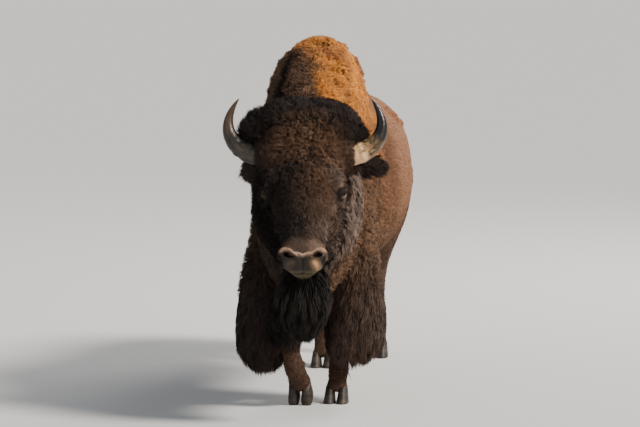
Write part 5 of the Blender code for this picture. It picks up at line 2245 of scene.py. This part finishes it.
@dataclass
class Foot:
    """The hoof of one leg: two claws with growth rings, and the two dewclaws behind."""

    leg: Leg

    def claw(self, side: int) -> tuple[Array, list]:
        """One claw: a wedge, rounded at the toe, on a flat sole.

        Args:
            side: 1 for the left, -1 for the right.

        Returns:
            Its points and its faces.
        """
        lean, top = CLAW_LENGTH * 0.26, 0.68
        rows = []
        for share, trim in ((1.0, 1.0), (0.75, 1.01), (0.5, 1.0), (0.25, 1.01), (0.05, 1.0), (0.0, 0.95)):
            size = (1 + (top - 1) * share) * trim
            at = (side * CLAW_SPACING, CLAW_LENGTH / 2 + lean * share, CLAW_HEIGHT * share)
            rows.append(station(at, CLAW_WIDTH / 2 * size, CLAW_LENGTH / 2 * size, power=2.3))
        form = Form(rows, along=DOWN, sides=40, spans=4)
        points, faces = form.mesh()
        c, s = math.cos(self.leg.toe_pitch), math.sin(self.leg.toe_pitch)
        turn = np.array([[1, 0, 0], [0, c, -s], [0, s, c]])
        sink = TOE_FLAT if self.leg.toe_pitch else 0.0
        points = points @ turn.T + np.array(self.leg.toe) - UP * sink
        points[:, 2] = np.maximum(points[:, 2], 0.0)
        return points, faces

    def dewclaw(self, side: int) -> tuple[Array, list]:
        """A blunt little horn behind the fetlock.

        Args:
            side: 1 for the left, -1 for the right.

        Returns:
            Its points and its faces.
        """
        fetlock, crown = np.array(self.leg.fetlock), self.leg.coronet()
        down = unit(crown - fetlock)
        back = unit(np.cross([1, 0, 0], down))
        back = back if back[1] > 0 else -back
        root = fetlock + np.array([side * 0.024, 0, 0]) + back * 0.034 + down * 0.008
        tip = root + down * 0.036 + back * 0.024
        rows = [
            station(root, 0.015, 0.014),
            station(between(root, tip, 0.7), 0.0135, 0.0125),
            station(tip, 0.005, 0.005),
        ]
        return Form(rows, sides=20, spans=5).mesh()

    def build(self) -> Object:
        """Makes the hoof.

        Returns:
            Both claws and both dewclaws as one piece.
        """
        points, faces = joined((self.claw(1), self.claw(-1), self.dewclaw(1), self.dewclaw(-1)))
        mesh = mesh_of(self.leg.name + "_hoof", points, faces)
        growth = ramp(noise(points * [1, 1, 6], 0.05, 61), -0.2, 0.8) * 0.5
        paint(mesh, MARKING, layered(linear(38, 32, 28), (linear(82, 68, 54), growth)))
        return shown(mesh)


# ------------ the stage
@dataclass(frozen=True)
class Lamp:
    """A soft square lamp that points at the animal."""

    name: str
    at: tuple[float, float, float]
    size: float
    power: float
    colour: tuple[float, float, float] = (1.0, 1.0, 1.0)

    def build(self, target: tuple) -> None:
        """Sets the lamp up.

        Args:
            target: what it points at.
        """
        data = bpy.data.lights.new(self.name, "AREA")
        data.shape = "SQUARE"
        data.size, data.energy, data.color = self.size, self.power, self.colour
        obj = linked(self.name, data)
        obj.location = self.at
        obj.rotation_euler = (Vector(target) - Vector(self.at)).to_track_quat("-Z", "Y").to_euler()


@dataclass
class Stage:
    """The floor, the lamps, the pale surroundings and the camera."""

    azimuth: float = math.radians(8.0)
    elevation: float = math.radians(6.0)
    distance: float = 22.0
    lens: float = 259.8
    target: tuple = (-0.0871, 0.2002, 0.8065)
    sunward: tuple = (0.95, -0.28, 0.85)
    sunlight: float = 5.6
    sun_colour: tuple = (1.0, 0.94, 0.85)
    sun_width: float = math.radians(16.0)
    sky_colour: tuple = (0.80, 0.84, 0.90, 1.0)
    skylight: float = 0.46
    floor_colour: tuple = (0.60, 0.595, 0.585, 1.0)
    aim: tuple = (0.0, -0.3, 0.9)
    lamps: tuple[Lamp, ...] = (
        Lamp("rim", (3.0, 5.5, 5.0), 3.0, 380.0, (1.0, 0.95, 0.88)),
        Lamp("fill", (-4.0, -7.5, 3.0), 5.0, 90.0, (0.94, 0.97, 1.0)),
    )

    def build(self) -> None:
        """Makes all of it."""
        bpy.ops.mesh.primitive_plane_add(size=160.0)
        floor = bpy.context.object
        floor.name = "floor"
        pale, _ = surface("pale_floor", {"Base Color": self.floor_colour, "Roughness": 0.9})
        floor.data.materials.append(pale)
        for lamp in self.lamps:
            lamp.build(self.aim)
        sun = bpy.data.lights.new("key", "SUN")
        sun.energy, sun.angle, sun.color = self.sunlight, self.sun_width, self.sun_colour
        key = linked("key", sun)
        key.rotation_euler = Vector(self.sunward).to_track_quat("Z", "Y").to_euler()
        world = bpy.data.worlds.new("surroundings")
        world.use_nodes = True
        sky = world.node_tree.nodes["Background"]
        dialled(sky, {"Color": self.sky_colour, "Strength": self.skylight})
        bpy.context.scene.world = world
        data = bpy.data.cameras.new("camera")
        data.lens, data.sensor_width, data.clip_end = self.lens, 36.0, 500.0
        camera = linked("camera", data)
        c, s = math.cos(self.elevation), math.sin(self.elevation)
        back = Vector((math.sin(self.azimuth) * c, -math.cos(self.azimuth) * c, s))
        camera.location = Vector(self.target) + back * self.distance
        camera.rotation_euler = back.to_track_quat("Z", "Y").to_euler()
        bpy.context.scene.camera = camera


# ------------ the whole
class Bison:
    """The dressed animal."""

    def __init__(self) -> None:
        """Starts with the markings, and with no material made."""
        self.markings = Markings()
        self.materials: dict[str, Material] = {}

    def dress(self, obj: Object, finish: Finish, slot: str, *nodes: str) -> None:
        """Gives a piece its material, hangs it on the root body, and hides the solids that it stands for.

        Args:
            obj: the piece.
            finish: its finish.
            slot: the name of the material slot meant for it; not used.
            nodes: the solids that it stands for.
        """
        if finish.name not in self.materials:
            self.materials[finish.name] = finish.material()
        obj.data.materials.clear()
        obj.data.materials.append(self.materials[finish.name])
        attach(obj, "root")
        if nodes:
            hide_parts(*nodes)
        log.info("%s: %d faces", obj.name, len(obj.data.polygons))

    def skin(self) -> Skin:
        """Makes the skin.

        Returns:
            The skin.
        """
        skin = Skin(self.markings)
        # Painted shade under the coat: the skin is darker where the coat over it is deeper.
        under = skin.colours * (1 - 0.45 * ramp(skin.depth, 0.006, 0.030))[:, None]
        paint(skin.mesh, MARKING, under)
        bare = (1 - zone_muzzle(skin.points)) * (skin.parts == Part.MUZZLE)
        paint(skin.mesh, GLOSS, bare[:, None])
        self.dress(shown(skin.mesh, "skin"), HIDE, "short_coat", *FLESH)
        return skin

    def build(self) -> None:
        """Makes every piece of the animal."""
        skin = self.skin()
        for piece in COAT:
            self.dress(piece.build(skin), piece.finish, piece.slot)
        for side, word in SIDES.items():
            self.dress(Horn(side).build(), HORN, "horn_sheath", f"{word}_horn")
            self.dress(Eye(side).build(), EYE, "eye_gloss", f"{word}_eye")
        self.dress(Lids().build(), LID, "dark_wool")
        for leg in LEGS:
            nodes = [f"{leg.name}_claw_{word}" for word in SIDES.values()]
            self.dress(Foot(leg).build(), HOOF, "hoof_horn", *nodes)


def main() -> None:
    """Builds the stage and the animal."""
    logging.basicConfig(level=logging.INFO, stream=sys.stdout, format="%(message)s")
    Stage().build()
    Bison().build()


if __name__ == "__main__":
    main()
